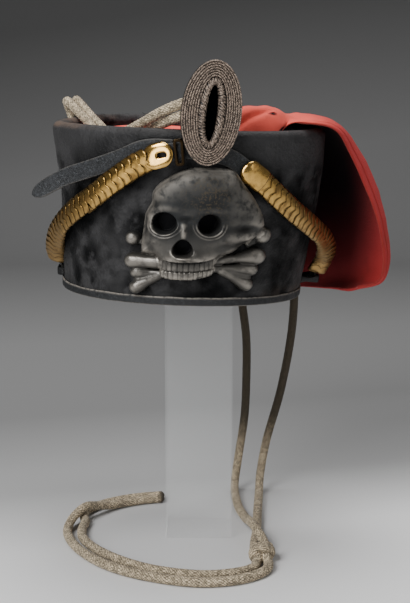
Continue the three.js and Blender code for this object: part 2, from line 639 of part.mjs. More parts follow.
function piece(name, geometry, finish) {
  const mesh = new THREE.Mesh(geometry, new THREE.MeshStandardMaterial(finishes[finish]));
  mesh.name = name;
  return mesh;
}

function badgeGroup() {
  const group = new THREE.Group();
  group.position.set(BADGE.x, BADGE.backY, BADGE.z);
  group.rotation.y = BADGE.tilt;
  group.add(piece('field_badge', fieldBadge(), 'braid'), piece('badge_core', badgeCore(), 'blackWool'));
  return group;
}

function chinStrap(leftPath, rightPath, rightScales) {
  const plateStart = SCALES_LEFT.start + SCALES_LEFT.count * SCALES_LEFT.pitch + FRONT_GAP;
  const buckleStart = plateStart + END_PLATE.length + FRONT_GAP;
  return [
    piece('strap_left', strap(leftPath, STRAP_STEPS.left, STRAP), 'leather'),
    piece('strap_right', strap(rightPath, STRAP_STEPS.right, STRAP, TONGUE), 'leather'),
    piece('chin_scales_left', scales(leftPath, SCALES_LEFT), 'brass'),
    piece('chin_scales_right', rightScales, 'brass'),
    piece('end_plate', endPlate(leftPath, plateStart), 'brass'),
    piece('buckle', buckle(leftPath, buckleStart), 'brass'),
    ...SIDE_TABS.map((tab) => piece(tab.name, sideTab(tab), 'leather')),
  ];
}

function hat() {
  const leftPath = wallPath(STRAP_LEFT_ROWS);
  const rightPath = wallPath(STRAP_RIGHT_ROWS);
  const rightScales = scales(rightPath, SCALES_RIGHT);
  const group = new THREE.Group();
  group.position.set(HAT_SEAT.x, HAT_SEAT.y, HAT_SEAT.z);
  group.rotation.set(0, HAT_LEAN, HAT_YAW);
  group.add(
    piece('fur_body', furBody(), 'fur'),
    piece('rim_binding', rimBinding(), 'leather'),
    piece('crown_bag', crownBag(), 'cloth'),
    piece('skull_and_bones', skullAndBones(rightPath), 'castMetal'),
    piece('line_keeper', strap(wallPath(KEEPER_ROWS), KEEPER.steps, KEEPER), 'leather'),
    ...chinStrap(leftPath, rightPath, rightScales),
    badgeGroup(),
  );
  return group;
}

function capLines() {
  const knot = piece('cap_line_knot', lineKnot(), 'cord');
  knot.position.set(LINE_KNOT.x, LINE_KNOT.y, LINE_KNOT.halfHeight + CLEARANCE);
  return [...LINE_ROUTES.map((route) => piece(route.name, capLine(route), 'cord')), knot];
}

function stand() {
  const { width, depth, height } = STAND;
  const block = piece('stand', closed(new THREE.BoxGeometry(width, depth, height)), 'clear');
  block.position.z = height / 2;
  return block;
}

const busby = new THREE.Group();
busby.add(stand(), hat(), ...capLines());

export default busby;
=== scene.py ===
"""The looks of a hussar busby on a clear block stand. Laid out as an add-on and run as a script."""

import math

import bmesh
import bpy
import numpy as np
from bpy.props import FloatProperty, FloatVectorProperty, IntProperty, PointerProperty
from mathutils import Matrix, Vector, kdtree, noise


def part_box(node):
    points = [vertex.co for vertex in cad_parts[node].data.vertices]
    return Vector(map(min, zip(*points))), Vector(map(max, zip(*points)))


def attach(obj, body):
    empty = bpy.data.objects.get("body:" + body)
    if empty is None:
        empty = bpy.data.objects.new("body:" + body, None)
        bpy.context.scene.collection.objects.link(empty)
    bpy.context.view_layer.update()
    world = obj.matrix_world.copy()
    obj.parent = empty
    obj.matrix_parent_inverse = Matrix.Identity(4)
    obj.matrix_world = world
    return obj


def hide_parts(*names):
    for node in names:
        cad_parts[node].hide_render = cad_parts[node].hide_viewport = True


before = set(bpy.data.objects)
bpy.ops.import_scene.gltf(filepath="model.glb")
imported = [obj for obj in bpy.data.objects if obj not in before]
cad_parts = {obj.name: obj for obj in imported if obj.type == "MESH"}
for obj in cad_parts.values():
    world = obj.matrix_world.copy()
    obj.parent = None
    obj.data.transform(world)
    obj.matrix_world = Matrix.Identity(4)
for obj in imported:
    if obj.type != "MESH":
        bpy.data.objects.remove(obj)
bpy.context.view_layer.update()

bl_info = {
    "name": "Hussar Busby",
    "version": (1, 0, 0),
    "blender": (4, 5, 0),
    "location": "3D View > Sidebar > Busby",
    "description": "Builds the fur, cloth, braid, metal and cord of a busby around its packed frame",
    "category": "Object",
}

# Tables are in millimetres, and meshes in metres
MM = 0.001
BODY = "root"

# The hat's place on its stand, and the oval wall's half sizes at even heights
HAT_SEAT = np.array((-13.6, 0.0, 195.5))
HAT_YAW = math.radians(9)
HAT_LEAN = math.radians(2.3)
HAT_TURN = np.array(Matrix.Rotation(HAT_LEAN, 3, "Y") @ Matrix.Rotation(HAT_YAW, 3, "Z"))
HAT_HEIGHT = 128.0
WALL_HALVES = {
    "left": (90.5, 91.3, 92.0, 94.0, 98.5, 102.5),
    "right": (90.0, 94.0, 97.7, 101.0, 104.0, 105.0),
    "front": (99.0, 101.0, 102.8, 105.5, 109.5, 113.0),
    "back": (103.0, 105.0, 107.0, 110.0, 114.5, 118.0),
}
BOTTOM_EDGE = {"left": 0.0, "right": 0.0, "front": 2.5, "back": 0.0}
TOP_EDGE = {"left": 126.0, "right": 129.0, "front": 127.0, "back": 131.0}
WALL_THICKNESS = 3.0
ROLL_RADIUS = 6.0
ROLL_CENTRE = 121.0
BODY_FOOT = 1.5
CLEARANCE = 0.3
BEND_RADIUS = 95.0

# How far hairs stray from the nap, and their shares of the mean length
HAIR_STRAY = 0.75
HAIR_LENGTHS = (0.45, 1.45)

# The straps' lines on the wall: turn in degrees, height and distance out
STRAP = {"width": 12.5, "thickness": 2.0}
STRAP_FORM = {
    "sides": 36, "across": 0.35, "out": 0.7, "score": (0.25, 0.82, 0.04), "edge": (0.8, 0.98),
    "scuffed": 0.25, "sharpest": 0.003,
}
STRAP_LEFT_ROWS = (
    (-97.5, 8, 0.6), (-97, 15.5, 0.8), (-94.5, 25, 4.2), (-85, 39, 5.2), (-72.5, 52.5, 5.2),
    (-61, 64.5, 4.6), (-50, 75.5, 3.4), (-38, 89.5, 3), (-27, 102.5, 2.9), (-19, 109.5, 2.9),
    (-12, 112, 2.9), (-9.8, 112.4, 2.9),
)
STRAP_RIGHT_ROWS = (
    (90.7, 8, 10.5), (90.2, 14.5, 12.5), (89.3, 20, 14.2), (87.5, 26, 15), (82.5, 33, 14.5),
    (73, 43, 10), (58, 54, 4.5), (40, 69.5, 1), (29, 82, 0.5), (21, 92.5, 0.4), (14, 101, 0.4),
    (8, 108, 0.4), (-1, 112, 0.4), (-12, 113.5, 0.4), (-25, 113, 0.4), (-37, 104.5, 0.5),
    (-49, 97, 3), (-61, 88.5, 12.5), (-70.5, 74, 30),
)
TONGUE_TAPER = 12.0
SCALE_SEAT = STRAP["thickness"] + 0.7
SCALES_LEFT = {"count": 25, "start": 19.0}
SCALES_RIGHT = {"count": 26, "start": 14.0}
END_PLATE = {
    "length": 17.0, "tail": 4.0, "half": 8.6, "corner": 8.4, "lift": 1.6, "thickness": 1.6, "dome": 1.2,
    "tilt": 0.26,
}
END_SLOT = {"from_end": 7.6, "half_length": 3.0, "half": 1.7, "corner": 1.615}
# Heights in metres between which the chains go from bright to dull
BRASS_LOW = (0.282, 0.232)
BUCKLE = {
    "length": 6.5, "half": 9.4, "wire": 2.0, "lift": 0.5, "thickness": 2.4, "corners": (1.6, 0.5),
}
FRONT_GAP = 0.6
SIDE_TABS = {"side_tab_left": (-97.2, 10.8, 3.5), "side_tab_right": (90.7, 9.6, 14.7)}
SIDE_TAB = {"half_turn": 8.0, "width": 6.0, "thickness": 1.6, "edge_out": 0.4, "step": 0.7}
KEEPER_ROWS = (
    (147, 43, 0.6), (147, 47.5, 5.5), (147, 54, 10), (147, 62, 10.6), (147, 70, 10),
    (147, 75.5, 5.5), (147, 80, 0.6),
)
KEEPER = {"width": 8.0, "thickness": 1.5}

# The crown's rows: the turns of its front and back edge, the ridge and the shoulder's rise
CROWN_SEAT = {"height": 117.0, "out": -12.4}
CROWN_ROWS = (
    (-72, -108, (-88.6, 0, 115), 0), (-46, -134, (-62, 0, 107), -5), (-20, -160, (-32, 0, 105.5), -5),
    (2, 178, (4, 0, 106), 12), (18, 162, (34, -20, 124), 24), (32, 148, (56, -30, 136), 22),
)
# The flap's rows: front, ridge and back
FLAP_ROWS = (
    ((63, -73, 131), (70, -46, 136), (66, 70, 129.5)),
    ((81, -74, 132.5), (86, -44, 135.5), (88, 66, 131.8)),
    ((99, -68, 127), (106, -40, 131), (104, 62, 123.5)),
    ((111.5, -62, 111), (124, -35, 113.5), (108, 60, 104)),
    ((124.3, -58, 89), (139.8, -33, 87.5), (106, 58, 78)),
    ((138, -54.5, 61), (151, -32, 56), (104, 57, 48)),
    ((146, -50, 30), (156, -27, 25), (102, 57, 18)),
    ((145, -44, 14), (152, -22, 10), (101.5, 57, 2)),
    ((131, -37, 8), (130, -14, 2.4), (101, 57, -7)),
)
CLOTH_THICKNESS = 2.0
CROWN_BULGE = 4.0
FLAP_BULGE = (2.2, 9.0)

# The badge: an oval slit, a wrapped roll and rings of braid, in its own upright plane
BADGE_PLACE = (-1.4, -114.7, 138.0)
BADGE_TILT = math.radians(4.6)
BADGE_TURN = np.array(Matrix.Rotation(BADGE_TILT, 3, "Y"))
BADGE_SLIT = (3.8, 18.7)
BADGE_ROLL = {"width": 5.6, "wraps": 96, "thread": 0.32}
BADGE_RINGS = {"count": 7, "width": 1.63, "first_depth": 7.4, "last_depth": 5.2}

# The cap lines: from behind the badge, over the rim, round the back, down and along the floor
LINE_LEFT = (
    (6.5, -110.5, 341.3), (-8.5, -104.4, 339.4), (-25.5, -94.9, 332.7), (-38.7, -83.8, 325.1),
    (-54.5, -62.9, 317), (-68.3, -34.7, 313), (-77.3, -2.7, 313.6), (-83.3, 23.6, 318.4),
    (-91.5, 39, 325.5), (-100, 51.5, 332.8), (-106.3, 62, 337.6), (-107.2, 71.5, 335.2),
    (-102.6, 79.8, 319.5), (-93.2, 85.6, 297), (-76, 92.3, 275.5), (-48.6, 107, 264.4),
    (-14.3, 112.5, 258), (17.8, 106.8, 253.5), (36.5, 97.8, 246.5), (37, 98.6, 220),
    (35.8, 98, 176), (40.2, 99, 136), (40.6, 100, 104), (39.2, 101.5, 66), (34.5, 102, 32),
    (31, 97, 9), (30.3, 80, 4.5), (31.4, 56, 3.9), (33, 36, 3.8), (37.5, 9, 4.8), (40.3, -14, 9.8),
    (43.4, -34, 12.4), (48, -50, 9.6), (51.5, -61, 4.6), (51.5, -66.2, 4),
)
LINE_RIGHT = (
    (6.2, -110.5, 332.6), (-8.8, -104.9, 330.9), (-24.2, -90, 325), (-33.9, -76.9, 320.4),
    (-47.5, -56.7, 315.4), (-60.9, -30.5, 312.2), (-69.8, 0.5, 312.8), (-75.9, 27.8, 317.6),
    (-85.3, 45.2, 325.3), (-93.3, 58.2, 332.9), (-99.5, 68.7, 338.2), (-99.9, 79, 335.7),
    (-95.8, 87, 320.6), (-88, 92.8, 302.8), (-74, 98.2, 285.5), (-48.8, 108.4, 273.6),
    (-13.9, 114, 266.7), (18.5, 107.8, 262.1), (41.7, 97, 259.5), (60, 92.5, 252), (74, 93, 234),
    (80, 95, 200), (80, 97.5, 150), (71, 99.5, 92), (58, 100.5, 42), (53, 97, 14), (51.5, 82, 4.2),
    (50, 58, 3.8), (48, 28, 3.8), (46.5, 0, 3.8), (45, -24, 3.8), (42.6, -48, 3.8),
    (42.3, -66.2, 4),
)
LINE_OUTER = (
    (51.5, -89.8, 4), (50.5, -98, 3.8), (44.5, -109, 3.8), (28, -121, 3.8), (1, -126, 3.8),
    (-35, -115, 3.8), (-65, -95, 3.8), (-87, -67, 3.8), (-100, -38, 3.8), (-104, -14, 4.4),
    (-100.5, 1, 8.6), (-92.5, 14.5, 12.2), (-84, 26.5, 9.2), (-75, 38, 5.5), (-63, 49, 4),
    (-48, 57, 3.8), (-30, 62, 3.8),
)
LINE_INNER = (
    (42.3, -89.8, 4), (40.8, -96.5, 3.8), (34.5, -103.5, 3.8), (20, -110, 3.8), (1, -112, 3.8),
    (-32, -102, 3.8), (-59, -82, 3.8), (-79, -58, 3.8), (-90.5, -34, 3.8), (-92.5, -12, 3.8),
    (-91.5, 2, 3.8), (-94, 15, 3.8), (-93.5, 28, 3.8), (-85, 42, 3.8), (-72, 54, 3.8),
    (-55, 63.5, 3.8), (-30, 70.5, 3.8),
)
KNOT = {
    "centre": (47.0, -78.0, 7.7), "half": (6.9, 4.1), "length": 9.0, "turns": 2.3, "radius": 3.3,
    "slant": 4.0, "through": (-72.5, -83.5), "line_height": 6.6, "pull": 0.4,
}
# The cord's braid: its strands, and the strengths, rates and shifts of its uneven pitch
BRAID = {
    "strands": 10, "pitch": 2.5, "depth": 0.14, "dip": 0.55, "fuzz": 0.012, "round_end": 0.35,
    "uneven": ((0.22, 0.83, 0.0), (0.16, 0.31, 1.0)), "step": 0.7, "sides": 40, "fine": 4000,
}

# The skull and bones, flat: x along the wall from its front line, z up
SKULL_OUTLINE = (
    (-44.5, 37.5), (-44.6, 47), (-43.6, 55.8), (-43, 62.3), (-42.1, 67.4), (-39.7, 71.9),
    (-37.8, 75.2), (-37.4, 79.9), (-36.3, 83.9), (-32.4, 88.8), (-27, 93), (-21.7, 96.3),
    (-15.2, 99.2), (-10.7, 100.4), (-4.2, 101.3), (2.3, 101.5), (8.6, 101.2), (13.5, 100.2),
    (17.2, 98), (20, 94.2), (22.9, 90), (26.2, 86), (29.6, 81.6), (32.7, 77.2), (35.6, 72.8),
    (37.7, 68.4), (39.4, 64), (40, 60), (38, 55), (34, 50.5), (29, 46), (24, 42.6), (18.5, 39.6),
    (12.8, 37.6), (8.6, 35.6), (7.2, 32), (7.2, 28), (6, 24.6), (2, 22.2), (-4, 20.6), (-12, 19.6),
    (-20.5, 19.8), (-26.9, 20.9), (-30, 23), (-31.2, 27), (-31.4, 32), (-33.5, 36.2),
    (-38.5, 36.8),
)
# Swells and hollows of the face: height, middle across and up, reach across and up
FACE_FORMS = {
    "forehead": (1.2, -6, 82, 26, 19),
    "right temple": (-2.0, 23, 62, 7, 9),
    "left temple": (-1.8, -40, 60, 3.5, 10),
    "left brow": (0.8, -27, 71.6, 9, 3),
    "right brow": (0.7, 1, 71.2, 9, 3),
    "root of the nose": (-1.4, -14, 64.5, 4.5, 2.4),
    "under the cheekbone": (-5.0, 26, 45.5, 9, 4.2),
    "over the cheekbone": (-3.0, 25, 58, 9, 3.2),
    "nose": (2.0, -14.8, 55.5, 3.6, 6.5),
    "ridge of the nose": (1.8, -14.8, 56, 1.4, 5.0),
    "upper jaw": (2.0, -13, 35.5, 16, 5),
    "foot of the nose": (2.3, -13.8, 36.8, 5.4, 1.0),
    "right cheek": (-2.8, 12, 43.5, 7, 5),
    "left cheek": (-2.2, -37, 43, 4, 5),
}
# The eyes and the nose hole, with the heights, places and widths of the lips below them
EYE = {"narrows": 0.0, "lips": ((1.3, 1.2, 0.08), (0.8, 1.47, 0.08)), "below": (2.0, -4.0)}
NOSE = {"narrows": 0.3, "lips": ((0.9, 1.2, 0.14),), "below": (-1.0, -5.0)}
FACE_HOLES = (
    {"at": (-27.0, 61.8), "half": (7.5, 7.4), **EYE},
    {"at": (0.6, 61.5), "half": (6.7, 7.2), **EYE},
    {"at": (-15.1, 44.2), "half": (5.8, 6.2), **NOSE},
)
HOLE = {"slope": (1.06, 0.86), "black": (1.0, 0.8), "floor": 2.0}
# The rows of teeth: heights in the middle, how they bow, and the teeth's widths
TEETH = {
    "middle": -16.0, "meet": 26.4, "meet_bow": 0.0055, "top": 7.2, "foot": 20.0, "foot_bow": 0.0085,
    "bulge": 11.5, "bulge_bow": 0.0125, "left": (-31.0, -28.5), "right": (7.5, 5.0), "spread": 0.00018,
    "upper": 3.6, "lower": 3.3, "lower_shift": 0.3, "groove": (1.2, 0.09), "parting": (1.5, 0.42),
    "gum": (0.8, 0.6), "gum_edge": (0.8, -0.6), "flatter": 0.65, "least": 3.0, "chin": 1.2,
    "chin_slope": 4,
}
BONE_RUNS = (
    ((-28, 32.0), (-50.4, 32.2), 4.9, 5.8), ((-50.7, 48.2), (-50.6, 48.6), 5.2, 5.3),
    ((-49, 47), (-42, 45), 2.4, 2.4), ((-27, 23.6), (-47.6, 23.6), 3.0, 4.6),
    ((-31, 22.4), (-47.6, 12.8), 3.4, 5.0), ((-36, 20.6), (-46, 18), 3.2, 3.8),
    ((6, 33.8), (36.6, 37.6), 3.2, 6.4), ((39.2, 52.5), (39.3, 53), 6.1, 6.2),
    ((37.5, 50), (31, 46), 2.6, 2.6), ((5, 28.4), (34, 28.0), 3.0, 5.0),
    ((12, 26.8), (31.4, 16.6), 3.4, 5.0), ((18, 25.0), (31, 22), 3.2, 3.8),
)
CHEEK_ARCH = ((13.5, 50.6), (26, 51.6), 1.6, 1.8)
CHEEK_RISE = 8.4
SKULL_RELIEF = 15.0
SKULL_SLOPE = {"reach": 20.0, "power": 3.0}
SKULL_JOINS = {"cheek": 0.5, "bones": 0.8, "sunk": 0.1, "bones_within": 3.0}

# The floor's painted shade, a fall from pale to grey with a painted shadow band: distance behind the
# stand in metres, and share of its colour
FLOOR_REACH = (-0.3, 3.0)
FLOOR_SLANT = 0.3
FLOOR_RISE = 1.6
FLOOR_PAINTED_SHADE = (
    (-0.16, 1.0), (-0.02, 0.93), (0.13, 0.42), (0.4, 0.26), (0.8, 0.32), (1.5, 0.30), (2.2, 0.25),
    (2.95, 0.095),
)

# Colours of wear and dirt, and of painted shade and highlight, in linear light
WEAR_AND_PAINTED_LIGHT = {
    "browned fur": (0.085, 0.058, 0.043),
    "scuffed leather": (0.19, 0.172, 0.15),
    "painted shade on hung cloth": (0.41, 0.036, 0.036),
    "lining": (0.016, 0.009, 0.012),
    "pale metal": (0.066, 0.062, 0.056),
    "rubbed metal and painted highlight": (0.30, 0.275, 0.24),
    "browned metal": (0.09, 0.068, 0.04),
    "painted groove shade": (0.004, 0.004, 0.004),
    "hollow metal": (0.002, 0.002, 0.003),
    "tarnish": (0.15, 0.08, 0.025),
    "dull brass": (0.30, 0.20, 0.095),
    "dark brass and painted shade": (0.025, 0.016, 0.008),
}


class BusbySizes(bpy.types.PropertyGroup):
    """Sizes that a user would change."""

    cord_diameter: FloatProperty(
        name="Cord Diameter", description="Diameter of the cap line", default=0.0073, unit="LENGTH")
    hair_length: FloatProperty(
        name="Hair Length", description="Mean length of the fur's hairs", default=0.0011, unit="LENGTH")
    hair_count: IntProperty(
        name="Hairs per Square Metre", description="Density of the fur's hairs", default=380000, min=0)
    scale_pitch: FloatProperty(
        name="Scale Pitch", description="Distance from scale to scale", default=0.0062, unit="LENGTH")
    skull_grid: FloatProperty(
        name="Skull Grid", description="Spacing of the skull's points", default=0.0005, unit="LENGTH")
    floor_width: FloatProperty(
        name="Floor Width", description="Width of the studio floor", default=6.0, unit="LENGTH")


def colour_property(label, description, default):
    return FloatVectorProperty(
        name=label, description=description, default=default, subtype="COLOR", size=3, min=0.0, max=1.0)


class BusbyColours(bpy.types.PropertyGroup):
    """Base colours, in linear light."""

    fur: colour_property("Fur", "Short black fur", (0.0012, 0.0013, 0.0016))
    skin: colour_property("Worn Fur", "Fur worn to its skin", (0.030, 0.0295, 0.0305))
    leather: colour_property("Leather", "Straps, tabs and binding", (0.0105, 0.0115, 0.0128))
    cloth: colour_property("Bag Cloth", "Red cloth of the bag", (0.72, 0.102, 0.075))
    braid: colour_property("Braid Thread", "Tarnished thread of the badge", (0.185, 0.143, 0.113))
    metal: colour_property("Blackened Metal", "Skull and bones", (0.0175, 0.0185, 0.019))
    brass: colour_property("Brass", "Scales, plate and buckle", (0.64, 0.39, 0.11))
    cord: colour_property("Cord", "Braided cord of the cap line", (0.80, 0.655, 0.45))
    clear: colour_property("Clear Block", "Block of the stand", (0.82, 0.84, 0.84))
    floor: colour_property("Floor", "Pale studio floor", (0.70, 0.70, 0.70))


# Numbers along curves and on the wall

def smooth_table(share, values):
    """Catmull-Rom values between evenly spaced ones."""
    values = np.asarray(values, float)
    last = len(values) - 1
    place = np.clip(share, 0, 1) * last
    k = np.minimum(place.astype(int), last - 1)
    w = place - k
    before, first, second, after = (values[np.clip(k + d, 0, last)] for d in (-1, 0, 1, 2))
    rise, fall = (second - before) / 2, (after - first) / 2
    cubic = 2 * first - 2 * second + rise + fall
    square = 3 * second - 3 * first - 2 * rise - fall
    return ((cubic * w + square) * w + rise) * w + first


def curve_through(points, count):
    """Points along a centripetal Catmull-Rom curve."""
    knots = np.asarray(points, float)
    padded = np.vstack((2 * knots[0] - knots[1], knots, 2 * knots[-1] - knots[-2]))
    place = np.linspace(0, len(knots) - 1, count)
    k = np.minimum(place.astype(int), len(knots) - 2)
    w = (place - k)[:, None]
    p0, p1, p2, p3 = (padded[k + d] for d in range(4))
    pairs = ((p0, p1), (p1, p2), (p2, p3))
    d0, d1, d2 = (np.sqrt(np.linalg.norm(b - a, axis=1))[:, None] for a, b in pairs)
    leave = ((p1 - p0) / d0 - (p2 - p0) / (d0 + d1) + (p2 - p1) / d1) * d1
    arrive = ((p2 - p1) / d1 - (p3 - p1) / (d1 + d2) + (p3 - p2) / d2) * d1
    square = 3 * p2 - 3 * p1 - 2 * leave - arrive
    cubic = 2 * p1 - 2 * p2 + leave + arrive
    return ((cubic * w + square) * w + leave) * w + p1


def unit(vectors):
    return vectors / np.maximum(np.linalg.norm(vectors, axis=-1, keepdims=True), 1e-12)


def smoothstep(low, high, value):
    share = np.clip((value - low) / (high - low), 0, 1)
    return share * share * (3 - 2 * share)


def full_turn(count, start=0.0):
    """Even angles once round."""
    return start + np.linspace(0, 2 * np.pi, count, endpoint=False)


def run_lengths(points):
    """The distance along a line at each of its points."""
    return np.concatenate(((0.0,), np.cumsum(np.linalg.norm(np.diff(points, axis=0), axis=1))))


def places_along(distance, known, table):
    """Rows of a table between those of the known distances."""
    return np.stack([np.interp(distance, known, column) for column in table.T], -1)


def bell(value, width):
    return np.exp(-((value / width) ** 2))


def from_segment(x, z, start, end):
    """The share of a segment that lies nearest to each point, and the distance to it."""
    (ax, az), (bx, bz) = start, end
    ex, ez = bx - ax, bz - az
    share = np.clip(((x - ax) * ex + (z - az) * ez) / (ex * ex + ez * ez + 1e-12), 0, 1)
    return share, np.hypot(x - ax - share * ex, z - az - share * ez)


def noise_at(points, size, shift=0.0):
    """Smooth noise from -1 to 1 at points, with features of the given size."""
    places = (np.asarray(points, float) / size + shift).reshape(-1, 3).tolist()
    return np.fromiter(map(noise.noise, places), float, len(places)).reshape(np.shape(points)[:-1])


def layered_noise(points, layers):
    """Noise of several strengths, sizes and shifts, added up."""
    return sum(strength * noise_at(points, size, shift) for strength, size, shift in layers)


def patchy(field, mean, depth, least=0.0, most=1.0):
    """A share that follows noise about its mean."""
    return np.clip(mean + depth * field, least, most)


def by_side(turn, sides):
    """A value for each point from its left or right and its front or back one."""
    across = np.where(np.sin(turn) >= 0, sides["right"], sides["left"])
    along = np.where(np.cos(turn) >= 0, sides["front"], sides["back"])
    return across, along


def wall_point(turn, height, out=0.0):
    """Points on the hat's wall in its own frame: turn from the front line, height, distance out."""
    turn, height, out = np.broadcast_arrays(*(np.asarray(v, float) for v in (turn, height, out)))
    share = height / HAT_HEIGHT
    sine, cosine = np.sin(turn), np.cos(turn)
    halves = {side: smooth_table(share, values) for side, values in WALL_HALVES.items()}
    wide, deep = by_side(turn, halves)
    low, high = (
        across * sine**2 + along * cosine**2
        for across, along in (by_side(turn, BOTTOM_EDGE), by_side(turn, TOP_EDGE))
    )
    away = unit(np.stack((sine / wide, -cosine / deep), -1))
    x = wide * sine + away[..., 0] * out
    y = -deep * cosine + away[..., 1] * out
    return np.stack((x, y, low + (high - low) * share), -1)


def wall_normal(turn, height):
    step = math.radians(1)
    sideways = wall_point(turn + step, height) - wall_point(turn - step, height)
    upward = wall_point(turn, height + 1) - wall_point(turn, height - 1)
    return unit(np.cross(sideways, upward))


def to_frame(points):
    """Points of the hat in the shared frame, in metres."""
    return (np.asarray(points) @ HAT_TURN.T + HAT_SEAT) * MM


class WallPath:
    """A line on the wall, and places given along it, across it and out of it."""

    POINTS = 600

    def __init__(self, rows):
        turn, height, out = np.array(rows, float).T
        turn = np.radians(turn)
        self.points = curve_through(wall_point(turn, height, out), self.POINTS)
        self.normals = curve_through(wall_normal(turn, height), self.POINTS)
        self.tangents = unit(np.gradient(self.points, axis=0))
        self.distance = run_lengths(self.points)
        self.length = self.distance[-1]

    def axes(self, distance):
        place = np.clip(distance, 0, self.length)
        tables = (self.points, self.tangents, self.normals)
        centre, along, away = (places_along(place, self.distance, table) for table in tables)
        along = unit(along)
        side = unit(np.cross(along, away))
        return centre, along, side, np.cross(side, along)

    def at(self, distance, across, out):
        given = (np.asarray(values, float) for values in (distance, across, out))
        distance, across, out = np.broadcast_arrays(*given)
        centre, _, side, normal = self.axes(distance)
        return centre + side * across[..., None] + normal * out[..., None]


# Meshes

def grid_faces(rows, columns, wrap_rows=False, wrap_columns=False):
    i, j = np.meshgrid(
        np.arange(rows if wrap_rows else rows - 1),
        np.arange(columns if wrap_columns else columns - 1), indexing="ij")
    down, right = (i + 1) % rows, (j + 1) % columns
    corners = (i * columns + j, down * columns + j, down * columns + right, i * columns + right)
    return np.stack(corners, -1).reshape(-1, 4)


def new_mesh(name, points, faces, attributes=None, uv=None):
    """A smooth mesh whose faces point outwards, with values and a UV place for each point."""
    mesh = bpy.data.meshes.new(name)
    mesh.from_pydata(np.asarray(points, float).reshape(-1, 3), [], faces)
    for label, values in (attributes or {}).items():
        layer = mesh.attributes.new(label, "FLOAT", "POINT")
        layer.data.foreach_set("value", np.asarray(values, np.float32).ravel())
    if uv is not None:
        corners = np.zeros(len(mesh.loops), np.int32)
        mesh.loops.foreach_get("vertex_index", corners)
        layer = mesh.uv_layers.new(name="UVMap")
        layer.data.foreach_set("uv", np.asarray(uv, np.float32).reshape(-1, 2)[corners].ravel())
    shape = bmesh.new()
    shape.from_mesh(mesh)
    bmesh.ops.recalc_face_normals(shape, faces=shape.faces)
    shape.to_mesh(mesh)
    shape.free()
    mesh.shade_smooth()
    return mesh


def add_piece(name, mesh, material, replaces=()):
    """A finished piece at the origin that rides on the hat's one body."""
    piece = bpy.data.objects.new(name, mesh)
    bpy.context.scene.collection.objects.link(piece)
    mesh.materials.clear()
    mesh.materials.append(material)
    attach(piece, BODY)
    if replaces:
        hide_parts(*replaces)
    return piece


def shell(outer, inner, keep=None):
    """Points and faces of a closed sheet between two grids, with walls round its edge and its holes."""
    rows, columns = outer.shape[:2]
    keep = np.ones((rows - 1, columns - 1), bool) if keep is None else keep
    faces = grid_faces(rows, columns)[keep.ravel()]
    back = faces[:, ::-1] + rows * columns
    edges = np.concatenate([faces[:, (k, (k + 1) % 4)] for k in range(4)])
    directed = {tuple(edge) for edge in edges.tolist()}
    free = [(a, b) for a, b in edges.tolist() if (b, a) not in directed]
    walls = [(b, a, a + rows * columns, b + rows * columns) for a, b in free]
    points = np.concatenate((outer.reshape(-1, 3), inner.reshape(-1, 3)))
    faces = np.concatenate((faces, back, np.array(walls, int)))
    used, faces = np.unique(faces, return_inverse=True)
    return points[used], faces.reshape(-1, 4), used


def on_shell(outer, inner, used):
    """Values for a shell's points, from those of its outer and its inner grid."""
    return np.concatenate((outer.ravel(), inner.ravel()))[used]


def tube(rings):
    """Points and faces of a tube through closed rings of points, closed by a point at each end."""
    count, sides = rings.shape[:2]
    ends = np.stack((rings[0].mean(0), rings[-1].mean(0)))
    faces = grid_faces(count, sides, wrap_columns=True).tolist()
    first, last = count * sides, count * sides + 1
    for k in range(sides):
        after = (k + 1) % sides
        faces.append((first, after, k))
        faces.append((last, (count - 1) * sides + k, (count - 1) * sides + after))
    return np.concatenate((rings.reshape(-1, 3), ends)), faces


def carried_frames(points):
    """Two directions across a line at each of its points, carried along it without twist."""
    along = unit(np.gradient(points, axis=0))
    start = np.cross(along[0], (0.0, 0.0, 1.0))
    sides = [unit(start if np.linalg.norm(start) > 0.1 else np.cross(along[0], (1.0, 0.0, 0.0)))]
    for direction in along[1:]:
        sides.append(unit(sides[-1] - direction * (sides[-1] @ direction)))
    sides = np.array(sides)
    return sides, np.cross(along, sides)


def rings_about(line, angle, radius):
    """A closed ring of points about each point of a line."""
    first, second = carried_frames(line)
    across = np.cos(angle)[:, None] * first[:, None] + np.sin(angle)[:, None] * second[:, None]
    return line[:, None] + across * radius[..., None]


# Node trees

def add_node(tree, kind, inputs=None, **settings):
    """A node with its settings, and with each named input set or linked."""
    made = tree.nodes.new(kind)
    for key, value in settings.items():
        setattr(made, key, value)
    for key, value in (inputs or {}).items():
        if isinstance(value, bpy.types.NodeSocket):
            tree.links.new(value, made.inputs[key])
        else:
            made.inputs[key].default_value = value
    return made


def new_tree(name, kind, inputs, outputs):
    """A node group with named sockets, and its input and output nodes."""
    tree = bpy.data.node_groups.new(name, kind)
    for label, socket, default in inputs:
        made = tree.interface.new_socket(label, in_out="INPUT", socket_type=socket)
        if default is not None:
            made.default_value = default
    for label, socket in outputs:
        tree.interface.new_socket(label, in_out="OUTPUT", socket_type=socket)
    return tree, tree.nodes.new("NodeGroupInput").outputs, tree.nodes.new("NodeGroupOutput").inputs


def carried_value(tree, name, kind="FLOAT"):
    """A value that each point of the mesh carries."""
    made = add_node(tree, "GeometryNodeInputNamedAttribute", {"Name": name}, data_type=kind)
    return made.outputs["Attribute"]


def product(tree, first, second):
    made = add_node(tree, "ShaderNodeMath", {0: first, 1: second}, operation="MULTIPLY")
    return made.outputs["Value"]


